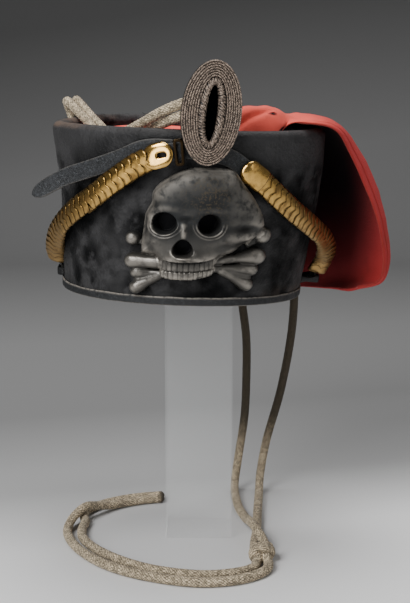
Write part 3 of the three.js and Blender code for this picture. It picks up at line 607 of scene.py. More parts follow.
def copies_on_points(tree, given, result, points, turn, size):
    """Ends a tree: plain faces, in the given finish, of the given object on every point."""
    copy = add_node(tree, "GeometryNodeObjectInfo", {"Object": given["Copy"]})
    placed = add_node(tree, "GeometryNodeInstanceOnPoints", {
        "Points": points, "Instance": copy.outputs["Geometry"], "Rotation": turn, "Scale": size})
    whole = add_node(tree, "GeometryNodeRealizeInstances", {"Geometry": placed.outputs["Instances"]})
    finish = add_node(tree, "GeometryNodeSetMaterial", {
        "Geometry": whole.outputs["Geometry"], "Material": given["Finish"]})
    tree.links.new(finish.outputs["Geometry"], result["Mesh"])
    return tree


def copies_tree():
    """Copies of one object on the points of a mesh, turned by the points' own values."""
    tree, given, result = new_tree(
        "Placed Copies", "GeometryNodeTree",
        (("Points", "NodeSocketGeometry", None), ("Copy", "NodeSocketObject", None),
         ("Finish", "NodeSocketMaterial", None), ("Seed", "NodeSocketInt", 1),
         ("Size", "NodeSocketFloat", 1.0), ("Smallest", "NodeSocketFloat", 1.0)),
        (("Mesh", "NodeSocketGeometry"),))
    turn = carried_value(tree, "turn", "FLOAT_VECTOR")
    turned = add_node(tree, "FunctionNodeEulerToRotation", {"Euler": turn})
    uneven = add_node(tree, "FunctionNodeRandomValue", {"Seed": given["Seed"]}, data_type="FLOAT")
    tree.links.new(given["Smallest"], uneven.inputs[2])
    size = product(tree, given["Size"], uneven.outputs[1])
    return copies_on_points(tree, given, result, given["Points"], turned.outputs["Rotation"], size)


def hair_tree():
    """Hairs scattered over a skin, along its nap, where its fuzz is thick."""
    tree, given, result = new_tree(
        "Scattered Hairs", "GeometryNodeTree",
        (("Skin", "NodeSocketGeometry", None), ("Copy", "NodeSocketObject", None),
         ("Finish", "NodeSocketMaterial", None), ("Density", "NodeSocketFloat", 1.0),
         ("Length", "NodeSocketFloat", 1.0), ("Seed", "NodeSocketInt", 3)),
        (("Mesh", "NodeSocketGeometry"),))
    density = product(tree, given["Density"], carried_value(tree, "fuzz"))
    scattered = add_node(tree, "GeometryNodeDistributePointsOnFaces", {
        "Mesh": given["Skin"], "Density": density, "Seed": given["Seed"]})
    stray = add_node(tree, "FunctionNodeRandomValue", {"Seed": given["Seed"]}, data_type="FLOAT_VECTOR")
    for socket, side in zip(stray.inputs, (-1, 1)):
        socket.default_value = (side * HAIR_STRAY,) * 3
    nap = carried_value(tree, "nap", "FLOAT_VECTOR")
    leaning = add_node(tree, "ShaderNodeVectorMath", {0: nap, 1: stray.outputs[0]}, operation="ADD")
    turned = add_node(
        tree, "FunctionNodeAlignRotationToVector", {"Vector": leaning.outputs["Vector"]}, axis="Z")
    longer = add_node(tree, "FunctionNodeRandomValue", {"Seed": given["Seed"]}, data_type="FLOAT")
    longer.inputs[2].default_value, longer.inputs[3].default_value = HAIR_LENGTHS
    drawn = product(tree, given["Length"], carried_value(tree, "reach"))
    length = product(tree, drawn, longer.outputs[1])
    return copies_on_points(
        tree, given, result, scattered.outputs["Points"], turned.outputs["Rotation"], length)


def tree_of(maker, name):
    return bpy.data.node_groups.get(name) or maker()


def grown_mesh(name, base_mesh, tree, values):
    """The plain mesh that a node tree makes from a base mesh."""
    base = bpy.data.objects.new(name + "_base", base_mesh)
    bpy.context.scene.collection.objects.link(base)
    modifier = base.modifiers.new("Nodes", "NODES")
    modifier.node_group = tree
    for item in tree.interface.items_tree:
        if item.in_out == "INPUT" and item.name in values:
            modifier[item.identifier] = values[item.name]
    graph = bpy.context.evaluated_depsgraph_get()
    mesh = bpy.data.meshes.new_from_object(base.evaluated_get(graph))
    base.modifiers.remove(modifier)
    bpy.data.objects.remove(base)
    mesh.name = name
    if not mesh.vertices:
        raise RuntimeError(f"the node tree made nothing for {name}")
    return mesh


def placed_copies(name, copy_mesh, places, axes, material, seed, smallest=1.0):
    """One mesh of many copies: axes holds each copy's own three directions as columns."""
    base = bpy.data.meshes.new(name + "_points")
    base.from_pydata(places, [], [])
    turns = [Matrix(directions.tolist()).to_euler() for directions in axes]
    layer = base.attributes.new("turn", "FLOAT_VECTOR", "POINT")
    layer.data.foreach_set("vector", np.array(turns, np.float32).ravel())
    copy = bpy.data.objects.new(name + "_copy", copy_mesh)
    mesh = grown_mesh(name, base, tree_of(copies_tree, "Placed Copies"), {
        "Copy": copy, "Finish": material, "Seed": seed, "Size": MM, "Smallest": smallest})
    bpy.data.objects.remove(copy)
    mesh.shade_smooth()
    return mesh


# Shared shader effects

def blotches_group():
    """Uneven patches as a mask from 0 to 1."""
    tree, given, result = new_tree(
        "Blotches", "ShaderNodeTree",
        (("Vector", "NodeSocketVector", None), ("Scale", "NodeSocketFloat", 100.0),
         ("Low", "NodeSocketFloat", 0.4), ("High", "NodeSocketFloat", 0.6),
         ("Detail", "NodeSocketFloat", 4.0)),
        (("Mask", "NodeSocketFloat"),))
    cloud = add_node(tree, "ShaderNodeTexNoise", {
        "Vector": given["Vector"], "Scale": given["Scale"], "Detail": given["Detail"]})
    mask = add_node(tree, "ShaderNodeMapRange", {
        "Value": cloud.outputs["Fac"], "From Min": given["Low"], "From Max": given["High"]},
        interpolation_type="SMOOTHSTEP")
    tree.links.new(mask.outputs["Result"], result["Mask"])
    return tree


def grain_group():
    """Fine pebbled grain with cracks, as a height."""
    tree, given, result = new_tree(
        "Grain", "ShaderNodeTree",
        (("Vector", "NodeSocketVector", None), ("Scale", "NodeSocketFloat", 900.0),
         ("Cracks", "NodeSocketFloat", 0.5)),
        (("Height", "NodeSocketFloat"),))
    cells = add_node(tree, "ShaderNodeTexVoronoi", {"Vector": given["Vector"], "Scale": given["Scale"]},
                     feature="DISTANCE_TO_EDGE")
    fine = add_node(tree, "ShaderNodeTexNoise", {
        "Vector": given["Vector"], "Scale": given["Scale"], "Detail": 3.0})
    crack = add_node(tree, "ShaderNodeMapRange", {"Value": cells.outputs["Distance"], "From Max": 0.12})
    deep = product(tree, crack.outputs["Result"], given["Cracks"])
    height = add_node(tree, "ShaderNodeMath", {0: deep, 1: fine.outputs["Fac"]}, operation="ADD")
    tree.links.new(height.outputs["Value"], result["Height"])
    return tree


class Finish:
    """A material's tree, with short ways to add the effects that it needs."""

    def __init__(self, name):
        self.material = bpy.data.materials.new(name)
        self.material.use_nodes = True
        self.tree = self.material.node_tree
        self.shader = self.tree.nodes["Principled BSDF"]
        self.place = add_node(self.tree, "ShaderNodeTexCoord").outputs["Object"]

    def set(self, **sockets):
        for label, value in sockets.items():
            socket = self.shader.inputs[label.replace("_", " ")]
            if isinstance(value, bpy.types.NodeSocket):
                self.tree.links.new(value, socket)
            else:
                socket.default_value = value

    def attribute(self, name):
        return add_node(self.tree, "ShaderNodeAttribute", attribute_name=name).outputs["Fac"]

    def blotches(self, scale, low, high, detail=4.0):
        return self.grouped(blotches_group, "Blotches", Scale=scale, Low=low, High=high, Detail=detail)

    def grain(self, scale, cracks):
        return self.grouped(grain_group, "Grain", Scale=scale, Cracks=cracks)

    def grouped(self, maker, name, **values):
        """A shared effect on the piece's own coordinates, with this finish's values."""
        values["Vector"] = self.place
        return add_node(self.tree, "ShaderNodeGroup", values, node_tree=tree_of(maker, name)).outputs[0]

    def math(self, operation, first, second):
        made = add_node(self.tree, "ShaderNodeMath", {0: first, 1: second}, operation=operation)
        return made.outputs["Value"]

    def part(self, mask, share):
        return self.math("MULTIPLY", mask, share)

    def spread(self, value, low, high, to_low, to_high):
        return add_node(self.tree, "ShaderNodeMapRange", {
            "Value": value, "From Min": low, "From Max": high, "To Min": to_low, "To Max": to_high,
        }).outputs["Result"]

    def mix(self, factor, first, second):
        opaque = [(*c, 1.0) if isinstance(c, tuple) else c for c in (first, second)]
        values = {0: factor, 6: opaque[0], 7: opaque[1]}
        return add_node(self.tree, "ShaderNodeMix", values, data_type="RGBA").outputs[2]

    def bump(self, height, strength, distance):
        made = add_node(self.tree, "ShaderNodeBump", {
            "Height": height, "Strength": strength, "Distance": distance * MM})
        self.tree.links.new(made.outputs["Normal"], self.shader.inputs["Normal"])


def tint(colour, factor):
    return tuple(min(1.0, c * factor) for c in colour)


def colours():
    given = bpy.context.scene.busby_colours
    return {key: tuple(getattr(given, key)) for key in BusbyColours.__annotations__}


def material_of(maker):
    """Each finish is made once, under a name that no material of the frame has."""
    name = "busby_" + maker.__name__
    made = bpy.data.materials.get(name)
    if made is None:
        finish = Finish(name)
        maker(finish, colours())
        made = finish.material
    return made


def short_fur(finish, colour):
    patches = finish.blotches(75, 0.46, 0.58)
    fine = finish.blotches(420, 0.35, 0.7, 6.0)
    # thick: painted shadow along the straps, painted as black fur, and darker fur low on the front
    thick = finish.attribute("thick")
    bare = finish.math("SUBTRACT", 1.0, finish.attribute("fuzz"))
    mottled = finish.mix(patches, colour["fur"], tint(colour["skin"], 0.9))
    speckled = finish.mix(finish.part(fine, 0.5), mottled, tint(colour["fur"], 0.7))
    skinned = finish.mix(finish.part(bare, 0.7), speckled, colour["skin"])
    black = finish.mix(finish.part(thick, 0.9), skinned, colour["fur"])
    finish.set(Base_Color=finish.mix(finish.attribute("worn"), black, WEAR_AND_PAINTED_LIGHT["browned fur"]))
    finish.set(Roughness=finish.spread(bare, 0, 1, 0.9, 0.6))
    finish.set(Specular_IOR_Level=finish.spread(bare, 0, 1, 0.08, 0.28))
    finish.set(Sheen_Weight=0.02, Sheen_Roughness=0.5)
    finish.bump(finish.math("ADD", fine, patches), 0.5, 0.6)


def hair_strand(finish, colour):
    patches = finish.blotches(75, 0.46, 0.58)
    finish.set(Base_Color=finish.mix(patches, tint(colour["fur"], 0.6), tint(colour["skin"], 0.6)))
    finish.set(Roughness=0.7, Specular_IOR_Level=0.12)


def worn_leather(finish, colour):
    patches = finish.blotches(160, 0.4, 0.7)
    cracks = finish.blotches(620, 0.5, 0.64, 6.0)
    edge = finish.attribute("edge")
    scuffed = finish.part(edge, finish.blotches(420, 0.25, 0.55))
    dulled = finish.mix(patches, colour["leather"], tint(colour["leather"], 1.7))
    crazed = finish.mix(finish.part(cracks, 0.55), dulled, tint(colour["leather"], 4.2))
    rubbed = finish.mix(scuffed, crazed, WEAR_AND_PAINTED_LIGHT["scuffed leather"])
    finish.set(Base_Color=finish.mix(finish.attribute("black"), rubbed, tint(colour["leather"], 0.15)))
    finish.set(Roughness=finish.spread(patches, 0, 1, 0.45, 0.7), Specular_IOR_Level=0.35)
    finish.bump(finish.grain(750, 0.9), 0.6, 0.4)


def bag_cloth(finish, colour):
    faded = finish.blotches(26, 0.35, 0.7)
    soiled = finish.blotches(75, 0.55, 0.75)
    place = add_node(finish.tree, "ShaderNodeUVMap", uv_map="UVMap").outputs["UV"]
    threads = [
        add_node(finish.tree, "ShaderNodeTexWave", {
            "Vector": place, "Scale": 300.0, "Distortion": 0.6, "Detail": 1.0},
            bands_direction=direction).outputs["Fac"]
        for direction in ("X", "Y")
    ]
    weave = finish.part(threads[0], threads[1])
    lit = finish.mix(faded, colour["cloth"], tint(colour["cloth"], 1.2))
    # The hanging flap in a darker red: painted shade where it turns away from the light
    hung = finish.mix(finish.attribute("hung"), lit, WEAR_AND_PAINTED_LIGHT["painted shade on hung cloth"])
    darkened_colour = finish.mix(finish.part(soiled, 0.35), hung, tint(colour["cloth"], 0.36))
    # inside: painted shade on the inner face, and darker cloth round the moth holes
    shaded_inside = finish.mix(finish.attribute("inside"), darkened_colour, WEAR_AND_PAINTED_LIGHT["lining"])
    # seam: a dark seam line, and painted shade on the hanging flap's front edge
    finish.set(Base_Color=finish.mix(finish.attribute("seam"), shaded_inside, tint(colour["cloth"], 0.2)))
    finish.set(Roughness=0.95, Sheen_Weight=0.04, Sheen_Roughness=0.4, Specular_IOR_Level=0.1)
    finish.bump(finish.math("ADD", weave, finish.blotches(900, 0.2, 0.8)), 0.4, 0.35)


def silver_braid(finish, colour):
    crevice = finish.attribute("crevice")
    tarnished = finish.blotches(900, 0.42, 0.62)
    # Patches of tarnished and of bright thread; the bright thread is raised further as painted
    # highlight on the stitches
    thread = finish.mix(tarnished, tint(colour["braid"], 2.1), tint(colour["braid"], 0.5))
    # crevice: painted shade in the gaps between threads and at their roots
    finish.set(Base_Color=finish.mix(crevice, thread, tint(colour["braid"], 0.07)))
    finish.set(Roughness=finish.spread(tarnished, 0, 1, 0.38, 0.7), Metallic=0.35)
    finish.bump(finish.blotches(1500, 0.2, 0.8), 0.4, 0.2)


def black_wool(finish, colour):
    lint = finish.blotches(900, 0.55, 0.8)
    finish.set(Base_Color=finish.mix(lint, tint(colour["fur"], 0.4), colour["fur"]), Roughness=1.0)
    finish.set(Specular_IOR_Level=0.0)
    finish.bump(lint, 0.8, 0.5)


def blackened_metal(finish, colour):
    high = finish.attribute("high")
    pale = finish.attribute("pale")
    rubbed = finish.part(high, finish.blotches(190, 0.25, 0.6))
    flecks = finish.part(finish.attribute("flecked"), finish.blotches(650, 0.5, 0.62, 6.0))
    clouded = finish.mix(finish.blotches(60, 0.35, 0.7), colour["metal"], tint(colour["metal"], 1.5))
    lower = finish.mix(pale, clouded, WEAR_AND_PAINTED_LIGHT["pale metal"])
    # rubbed: rubbed ridges and scratches, and painted highlight along the border
    lit = finish.mix(finish.part(rubbed, 0.8), lower, WEAR_AND_PAINTED_LIGHT["rubbed metal and painted highlight"])
    browned = finish.mix(finish.part(flecks, 0.6), lit, WEAR_AND_PAINTED_LIGHT["browned metal"])
    # low: painted shade in the grooves
    sunk = finish.mix(finish.attribute("low"), browned, WEAR_AND_PAINTED_LIGHT["painted groove shade"])
    finish.set(Base_Color=finish.mix(finish.attribute("hollow"), sunk, WEAR_AND_PAINTED_LIGHT["hollow metal"]))
    uneven = finish.part(finish.blotches(120, 0.3, 0.7), 0.04)
    finish.set(Roughness=finish.math("ADD", finish.spread(pale, 0, 1, 0.56, 0.3), uneven))
    finish.set(Metallic=0.6, Specular_IOR_Level=0.22)
    finish.bump(finish.blotches(420, 0.2, 0.8, 6.0), 0.22, 0.4)


def old_brass(finish, colour):
    crevice = finish.attribute("crevice")
    smooth = finish.spread(finish.attribute("polish"), 0, 1, 1.0, 0.6)
    clean = finish.spread(finish.attribute("polish"), 0, 1, 1.0, 0.05)
    tarnished = finish.part(finish.blotches(115, 0.48, 0.7, 5.0), clean)
    height = add_node(finish.tree, "ShaderNodeSeparateXYZ", {0: finish.place}).outputs["Z"]
    low = finish.spread(height, *BRASS_LOW, 0, 1)
    bright = finish.mix(finish.blotches(300, 0.3, 0.7), colour["brass"], tint(colour["brass"], 0.75))
    dull = finish.mix(finish.part(tarnished, 0.8), bright, WEAR_AND_PAINTED_LIGHT["tarnish"])
    lower = finish.mix(finish.part(low, 0.7), dull, WEAR_AND_PAINTED_LIGHT["dull brass"])
    # crevice: dark seams and buckle, and painted shade on the scales' lips and undersides
    finish.set(Base_Color=finish.mix(crevice, lower, WEAR_AND_PAINTED_LIGHT["dark brass and painted shade"]))
    tarnish_rough = finish.spread(tarnished, 0, 1, 0.2, 0.42)
    rough = finish.math("ADD", tarnish_rough, finish.part(low, 0.22))
    finish.set(Metallic=1.0, Roughness=finish.part(rough, smooth))
    finish.bump(finish.part(finish.blotches(260, 0.2, 0.8), clean), 0.22, 0.5)


def braided_cord(finish, colour):
    crevice = finish.attribute("crevice")
    # darkened: painted shade where the cord runs and hangs behind the hat and stand, and its dark tip
    soiled = finish.attribute("soiled")
    flecked = finish.part(finish.blotches(430, 0.47, 0.57), 0.85)
    mottled = finish.mix(finish.blotches(130, 0.35, 0.7), colour["cord"], tint(colour["cord"], 0.68))
    peppered = finish.mix(flecked, mottled, tint(colour["cord"], 0.3))
    darkened_colour = finish.mix(finish.part(soiled, 0.96), peppered, tint(colour["cord"], 0.03))
    # Painted shade in the grooves between the strands
    sunk = finish.spread(crevice, 0.12, 0.6, 0.0, 0.95)
    finish.set(Base_Color=finish.mix(sunk, darkened_colour, tint(colour["cord"], 0.07)))
    finish.set(Roughness=0.9, Specular_IOR_Level=0.2, Sheen_Weight=0.1)
    finish.bump(finish.blotches(1400, 0.2, 0.8), 0.5, 0.25)


def clear_block(finish, colour):
    clouds = finish.blotches(8, 0.3, 0.7)
    finish.set(Base_Color=(*colour["clear"], 1.0), IOR=1.49, Specular_IOR_Level=0.3, Alpha=0.075)
    finish.set(Roughness=finish.spread(clouds, 0, 1, 0.08, 0.16))


def studio_floor(finish, colour):
    """A pale floor with painted shade: a painted fall-off to grey behind the stand and up the back,
    with a painted shadow band.
    """
    place = add_node(finish.tree, "ShaderNodeSeparateXYZ", {0: finish.place}).outputs
    slanted = finish.math("SUBTRACT", place["Y"], finish.part(place["X"], FLOOR_SLANT))
    far = finish.math("ADD", slanted, finish.part(place["Z"], FLOOR_RISE))
    # Painted shade: the floor's colour falls off behind the stand and up the back, with a painted
    # shadow band
    ramp = add_node(finish.tree, "ShaderNodeValToRGB", {"Fac": finish.spread(far, *FLOOR_REACH, 0, 1)})
    stops = ramp.color_ramp.elements
    while len(stops) < len(FLOOR_PAINTED_SHADE):
        stops.new(1.0)
    for stop, (distance, share) in zip(stops, FLOOR_PAINTED_SHADE):
        stop.position = (distance - FLOOR_REACH[0]) / (FLOOR_REACH[1] - FLOOR_REACH[0])
        stop.color = (*tint(colour["floor"], share), 1.0)
    finish.set(Base_Color=ramp.outputs["Color"], Roughness=0.7, Specular_IOR_Level=0.25)


# Pieces

def cord_rings(points, diameter):
    """A braided tube's line and rings, and how deep each point lies between the strands."""
    dense = curve_through(points, BRAID["fine"])
    distance = run_lengths(dense)
    even = np.linspace(0, distance[-1], int(distance[-1] / BRAID["step"]))
    line = places_along(even, distance, dense)
    angle = full_turn(BRAID["sides"])
    uneven = sum(size * np.sin(even * rate + shift) for size, rate, shift in BRAID["uneven"])
    around = angle * BRAID["strands"] / (2 * np.pi)
    ahead = (even / BRAID["pitch"] + uneven)[:, None]
    left, right = around + ahead, around - ahead
    left_on_top = (np.floor(left) + np.floor(right)) % 2 == 0
    left, right = left - np.floor(left), right - np.floor(right)
    across_strand, along_strand = np.where(left_on_top, (left, right), (right, left))
    round_strand = np.sqrt(np.clip(1 - (2 * across_strand - 1) ** 2, 0, 1))
    swell = round_strand * (1 - BRAID["dip"] * (1 - np.sin(np.pi * along_strand)))
    fuzz = np.random.default_rng(7).normal(0, BRAID["fuzz"], swell.shape)
    from_end = np.minimum(even, even[-1] - even) / (BRAID["round_end"] * diameter)
    taper = np.sqrt(np.clip(from_end, 0.02, 1))[:, None]
    radius = diameter / 2 * taper * (1 - BRAID["depth"] * (1 - swell) + fuzz)
    return line, rings_about(line, angle, radius), 1 - swell


class BUSBY_OT_cap_lines(bpy.types.Operator):
    """Make the two braided cap lines and the wrapped knot that holds them together"""

    bl_idname = "busby.cap_lines"
    bl_label = "Cap Lines"

    RUNS = (
        ("cap_line_first", LINE_LEFT, LINE_OUTER, ("cap_line_left", "cap_line_outer")),
        ("cap_line_second", LINE_RIGHT, LINE_INNER, ("cap_line_right", "cap_line_inner")),
    )
    # Heights in millimetres over which painted shade fades in and out on the cord behind the hat, and
    # the reach of the dark tip at its lying end
    SOILED = ((28.0, 70.0), (290.0, 255.0))
    TIP = (7.0, 2.0)
    KNOT_POINTS = 60

    def execute(self, context):
        diameter = context.scene.busby_sizes.cord_diameter / MM
        material = material_of(braided_cord)
        knot = self.knot(material)
        for name, hanging, lying, nodes in self.RUNS:
            route = [*hanging, *self.through_knot(hanging[-1][0]), *lying]
            line, rings, crevice = cord_rings(route, diameter)
            height = rings[..., 2]
            # Painted shade on the run behind the hat, and the dark tip at the lying end
            soiled = smoothstep(*self.SOILED[0], height) * smoothstep(*self.SOILED[1], height)
            from_end = BRAID["step"] * np.arange(len(rings))[::-1, None]
            soiled = np.maximum(soiled, smoothstep(*self.TIP, from_end))
            mesh = self.cord_mesh(name, rings, crevice, soiled)
            piece = add_piece(name, mesh, material, nodes)
        return {"FINISHED"}

    def cord_mesh(self, name, rings, crevice, soiled):
        points, faces = tube(rings)
        ends = np.zeros(2)
        values = {"crevice": np.append(crevice, ends + 1), "soiled": np.append(soiled, ends)}
        return new_mesh(name, points * MM, faces, values)

    def through_knot(self, x):
        """Where a cord that comes in at x passes through the knot, pulled towards its middle."""
        drawn = x + (KNOT["centre"][0] - x) * KNOT["pull"]
        return [(drawn, y, KNOT["line_height"]) for y in KNOT["through"]]

    def knot(self, material):
        turn = np.linspace(0, 2 * np.pi * KNOT["turns"], self.KNOT_POINTS)
        share = np.linspace(-0.5, 0.5, self.KNOT_POINTS)
        x, y, z = KNOT["centre"]
        wide, high = KNOT["half"]
        along = KNOT["slant"] * np.cos(turn) - KNOT["length"] * share
        helix = np.stack((x + wide * np.cos(turn), y + along, z + high * np.sin(turn)), -1)
        _, rings, crevice = cord_rings(helix, 2 * KNOT["radius"])
        mesh = self.cord_mesh("cap_line_wrap", rings, crevice, 0 * crevice)
        return add_piece("cap_line_wrap", mesh, material, ("cap_line_knot",))


class BUSBY_OT_fur_body(bpy.types.Operator):
    """Make the stiff body with its rolled top edge, and the short hairs on it"""

    bl_idname = "busby.fur_body"
    bl_label = "Fur Body"

    ROUND = 260
    RAGGED = 2.2
    # Distances from a strap's middle line within which painted shadow makes the fur black
    THICK = (25.0, 11.0)
    HAIRY = (108.0, 94.0)
    FRAYED = (113.0, 119.0)
    STIFF = (0.0, 20.0)
    CLUMPS = ((1.0, 16, 0.0), (0.5, 7, 3.1))
    SWAY = ((1.1, 55, 8.2), (0.5, 20, 1.7))
    PILE = (3.6, 5.5)
    BEHIND = {"turn": 0.25, "from": (0.3, 0.8)}
    WORN_ROLL = {
        "edge": (0.4, 0.9), "turn": 0.2, "left": (0.55, 0.95), "all_round": 0.05, "noise": (9, 4.4),
    }
    WORN_RIGHT = {"height": (16, 2), "side": (0.35, 0.8), "noise": (8, 7.7)}
    BLACK_FRONT = {"height": (70, 40), "left": (-0.45, -0.05), "right": (1.0, 0.55)}
    NAP = {"down": 0.75, "out": 0.62}
    ROWS = {"outside": 70, "roll": 18, "inside": 24}
    HAIR_BLADE = ((-0.035, 0, 0), (0.035, 0, 0), (0.02, 0.06, 0.6), (-0.02, 0.06, 0.6), (0, 0.16, 1.0))

    def execute(self, context):
        sizes = context.scene.busby_sizes
        skin = self.skin()
        add_piece("fur_body_skin", skin, material_of(short_fur), ("fur_body",))
        blade = bpy.data.meshes.new("hair_blade")
        blade.from_pydata(self.HAIR_BLADE, [], [(0, 1, 2, 3), (3, 2, 4)])
        holder = bpy.data.objects.new("hair_blade", blade)
        mesh = grown_mesh("fur_hairs", skin.copy(), tree_of(hair_tree, "Scattered Hairs"), {
            "Copy": holder, "Finish": material_of(hair_strand), "Density": float(sizes.hair_count),
            "Length": sizes.hair_length})
        bpy.data.objects.remove(holder)
        add_piece("fur_hairs", mesh, material_of(hair_strand))
        return {"FINISHED"}

    def profile(self):
        outside = np.linspace(BODY_FOOT, ROLL_CENTRE, self.ROWS["outside"])
        angle = np.linspace(0, np.pi, self.ROWS["roll"])[1:]
        inside = np.linspace(ROLL_CENTRE - 2 * ROLL_RADIUS, BODY_FOOT, self.ROWS["inside"])
        height = np.concatenate((outside, ROLL_CENTRE + ROLL_RADIUS * np.sin(angle), inside))
        inward = ROLL_RADIUS * (np.cos(angle) - 1)
        out = np.concatenate((0 * outside, inward, 0 * inside - WALL_THICKNESS))
        shown = np.concatenate((0 * outside + 1, 0.5 + 0.5 * np.cos(angle), 0 * inside))
        return height, out, shown

    def skin(self):
        height, out, shown = (row[:, None] for row in self.profile())
        turn = full_turn(self.ROUND, -np.pi)[None, :]
        plain = wall_point(turn, height, out)
        clumps = layered_noise(plain, self.CLUMPS)
        fuzz = shown * smoothstep(*self.HAIRY, height) * patchy(clumps, 0.62, 0.75, least=0.05)
        behind = smoothstep(*self.BEHIND["from"], -np.cos(turn - self.BEHIND["turn"]))
        ragged = behind * smoothstep(*self.FRAYED, height) + 0 * fuzz
        fuzz = np.maximum(fuzz, ragged * patchy(clumps, 0.5, 0.9))
        sway = layered_noise(plain, self.SWAY) * smoothstep(*self.STIFF, height)
        pile = fuzz * 0.5 * (1 + noise_at(plain, *self.PILE))
        points = wall_point(turn, height, out + shown * (sway + pile))
        values = {
            "fuzz": fuzz,
            "reach": 1 + self.RAGGED * ragged,
            "worn": self.worn(turn, height, shown, plain),
            # thick: painted shadow along the straps, and darker fur low on the front
            "thick": shown * self.thick(turn, height, points, clumps),
        }
        faces = grid_faces(*points.shape[:2], True, True)
        mesh = new_mesh("fur_body_skin", to_frame(points), faces, values)
        up = unit(np.gradient(points, axis=0))
        nap = self.NAP["out"] * wall_normal(turn, np.clip(height, 2, 120)) - self.NAP["down"] * up
        layer = mesh.attributes.new("nap", "FLOAT_VECTOR", "POINT")
        layer.data.foreach_set("vector", (nap @ HAT_TURN.T).astype(np.float32).ravel())
        return mesh

    def worn(self, turn, height, shown, plain):
        """How brown the skin is: on the left of the roll, and low on the right."""
        over = np.clip((height - ROLL_CENTRE) / ROLL_RADIUS, 0, 1)
        edge = smoothstep(*self.WORN_ROLL["edge"], np.sin(over * np.pi / 2))
        left = smoothstep(*self.WORN_ROLL["left"], -np.sin(turn + self.WORN_ROLL["turn"]))
        left = np.clip(left + self.WORN_ROLL["all_round"], 0, 1)
        roll = edge * left * patchy(noise_at(plain, *self.WORN_ROLL["noise"]), 0.55, 1.0)
        right = smoothstep(*self.WORN_RIGHT["side"], np.sin(turn)) * (np.cos(turn) > 0)
        low_right = smoothstep(*self.WORN_RIGHT["height"], height) * right
        patches = patchy(noise_at(plain, *self.WORN_RIGHT["noise"]), 0.3, 0.8, most=0.7)
        return np.maximum(roll, shown * low_right * patches)

    def thick(self, turn, height, points, clumps):
        """How black the fur is painted: painted shadow along the straps, and darker fur low on the
        front.
        """
        near = smoothstep(*self.THICK, self.from_straps(points)) * patchy(clumps, 0.8, 0.7, least=0.2)
        low_front = smoothstep(*self.BLACK_FRONT["height"], height)
        for side in ("left", "right"):
            low_front = low_front * smoothstep(*self.BLACK_FRONT[side], turn)
        return np.maximum(near, low_front * patchy(clumps, 0.75, 0.6))

    def from_straps(self, points):
        """Distance of each point to the nearer strap's middle line, along which shadow is painted."""
        straps = (STRAP_LEFT_ROWS, STRAP_RIGHT_ROWS)
        lines = np.concatenate([WallPath(rows).points[::4] for rows in straps])
        tree = kdtree.KDTree(len(lines))
        for i, place in enumerate(lines.tolist()):
            tree.insert(place, i)
        tree.balance()
        away = [tree.find(place)[2] for place in points.reshape(-1, 3).tolist()]
        return np.array(away).reshape(points.shape[:2])


class BUSBY_OT_rim_binding(bpy.types.Operator):
    """Make the leather binding of the bottom edge"""

    bl_idname = "busby.rim_binding"
    bl_label = "Rim Binding"

    ROUND = 260
    SECTION = (
        (6.0, 0.35), (6.3, 0.8), (5.9, 1.3), (4.2, 1.5), (2.0, 1.55), (0.6, 1.4), (0.0, 0.6),
        (-0.1, -1.5), (0.0, -3.6), (0.6, -4.3), (2.5, -4.5), (4.6, -4.4), (5.0, -4.0), (4.8, -3.4),
        (1.3, -3.3), (1.2, 0.3),
    )
    SECTION_POINTS = 49
    UNEVEN = {"size": 14, "up": 0.55, "out": 0.25}
    BLACKED = 0.45

    def execute(self, context):
        section = curve_through([*self.SECTION, self.SECTION[0]], self.SECTION_POINTS)[:-1]
        height, out = section.T[..., None]
        turn = full_turn(self.ROUND, -np.pi)[None, :]
        plain = wall_point(turn, height, out)
        uneven = noise_at(plain * (1, 1, 0.2), self.UNEVEN["size"])
        raised = height + self.UNEVEN["up"] * uneven * smoothstep(2, 6, height)
        points = wall_point(turn, raised, out + self.UNEVEN["out"] * uneven)
        edge = (smoothstep(4.6, 6.0, height) + smoothstep(1.0, 0.0, height)) * (out > 0) + 0 * uneven
        values = {"edge": edge, "black": self.BLACKED * (1 - edge)}
        faces = grid_faces(*points.shape[:2], True, True)
        mesh = new_mesh("rim_binding_leather", to_frame(points), faces, values)
        add_piece("rim_binding_leather", mesh, material_of(worn_leather), ("rim_binding",))
        return {"FINISHED"}


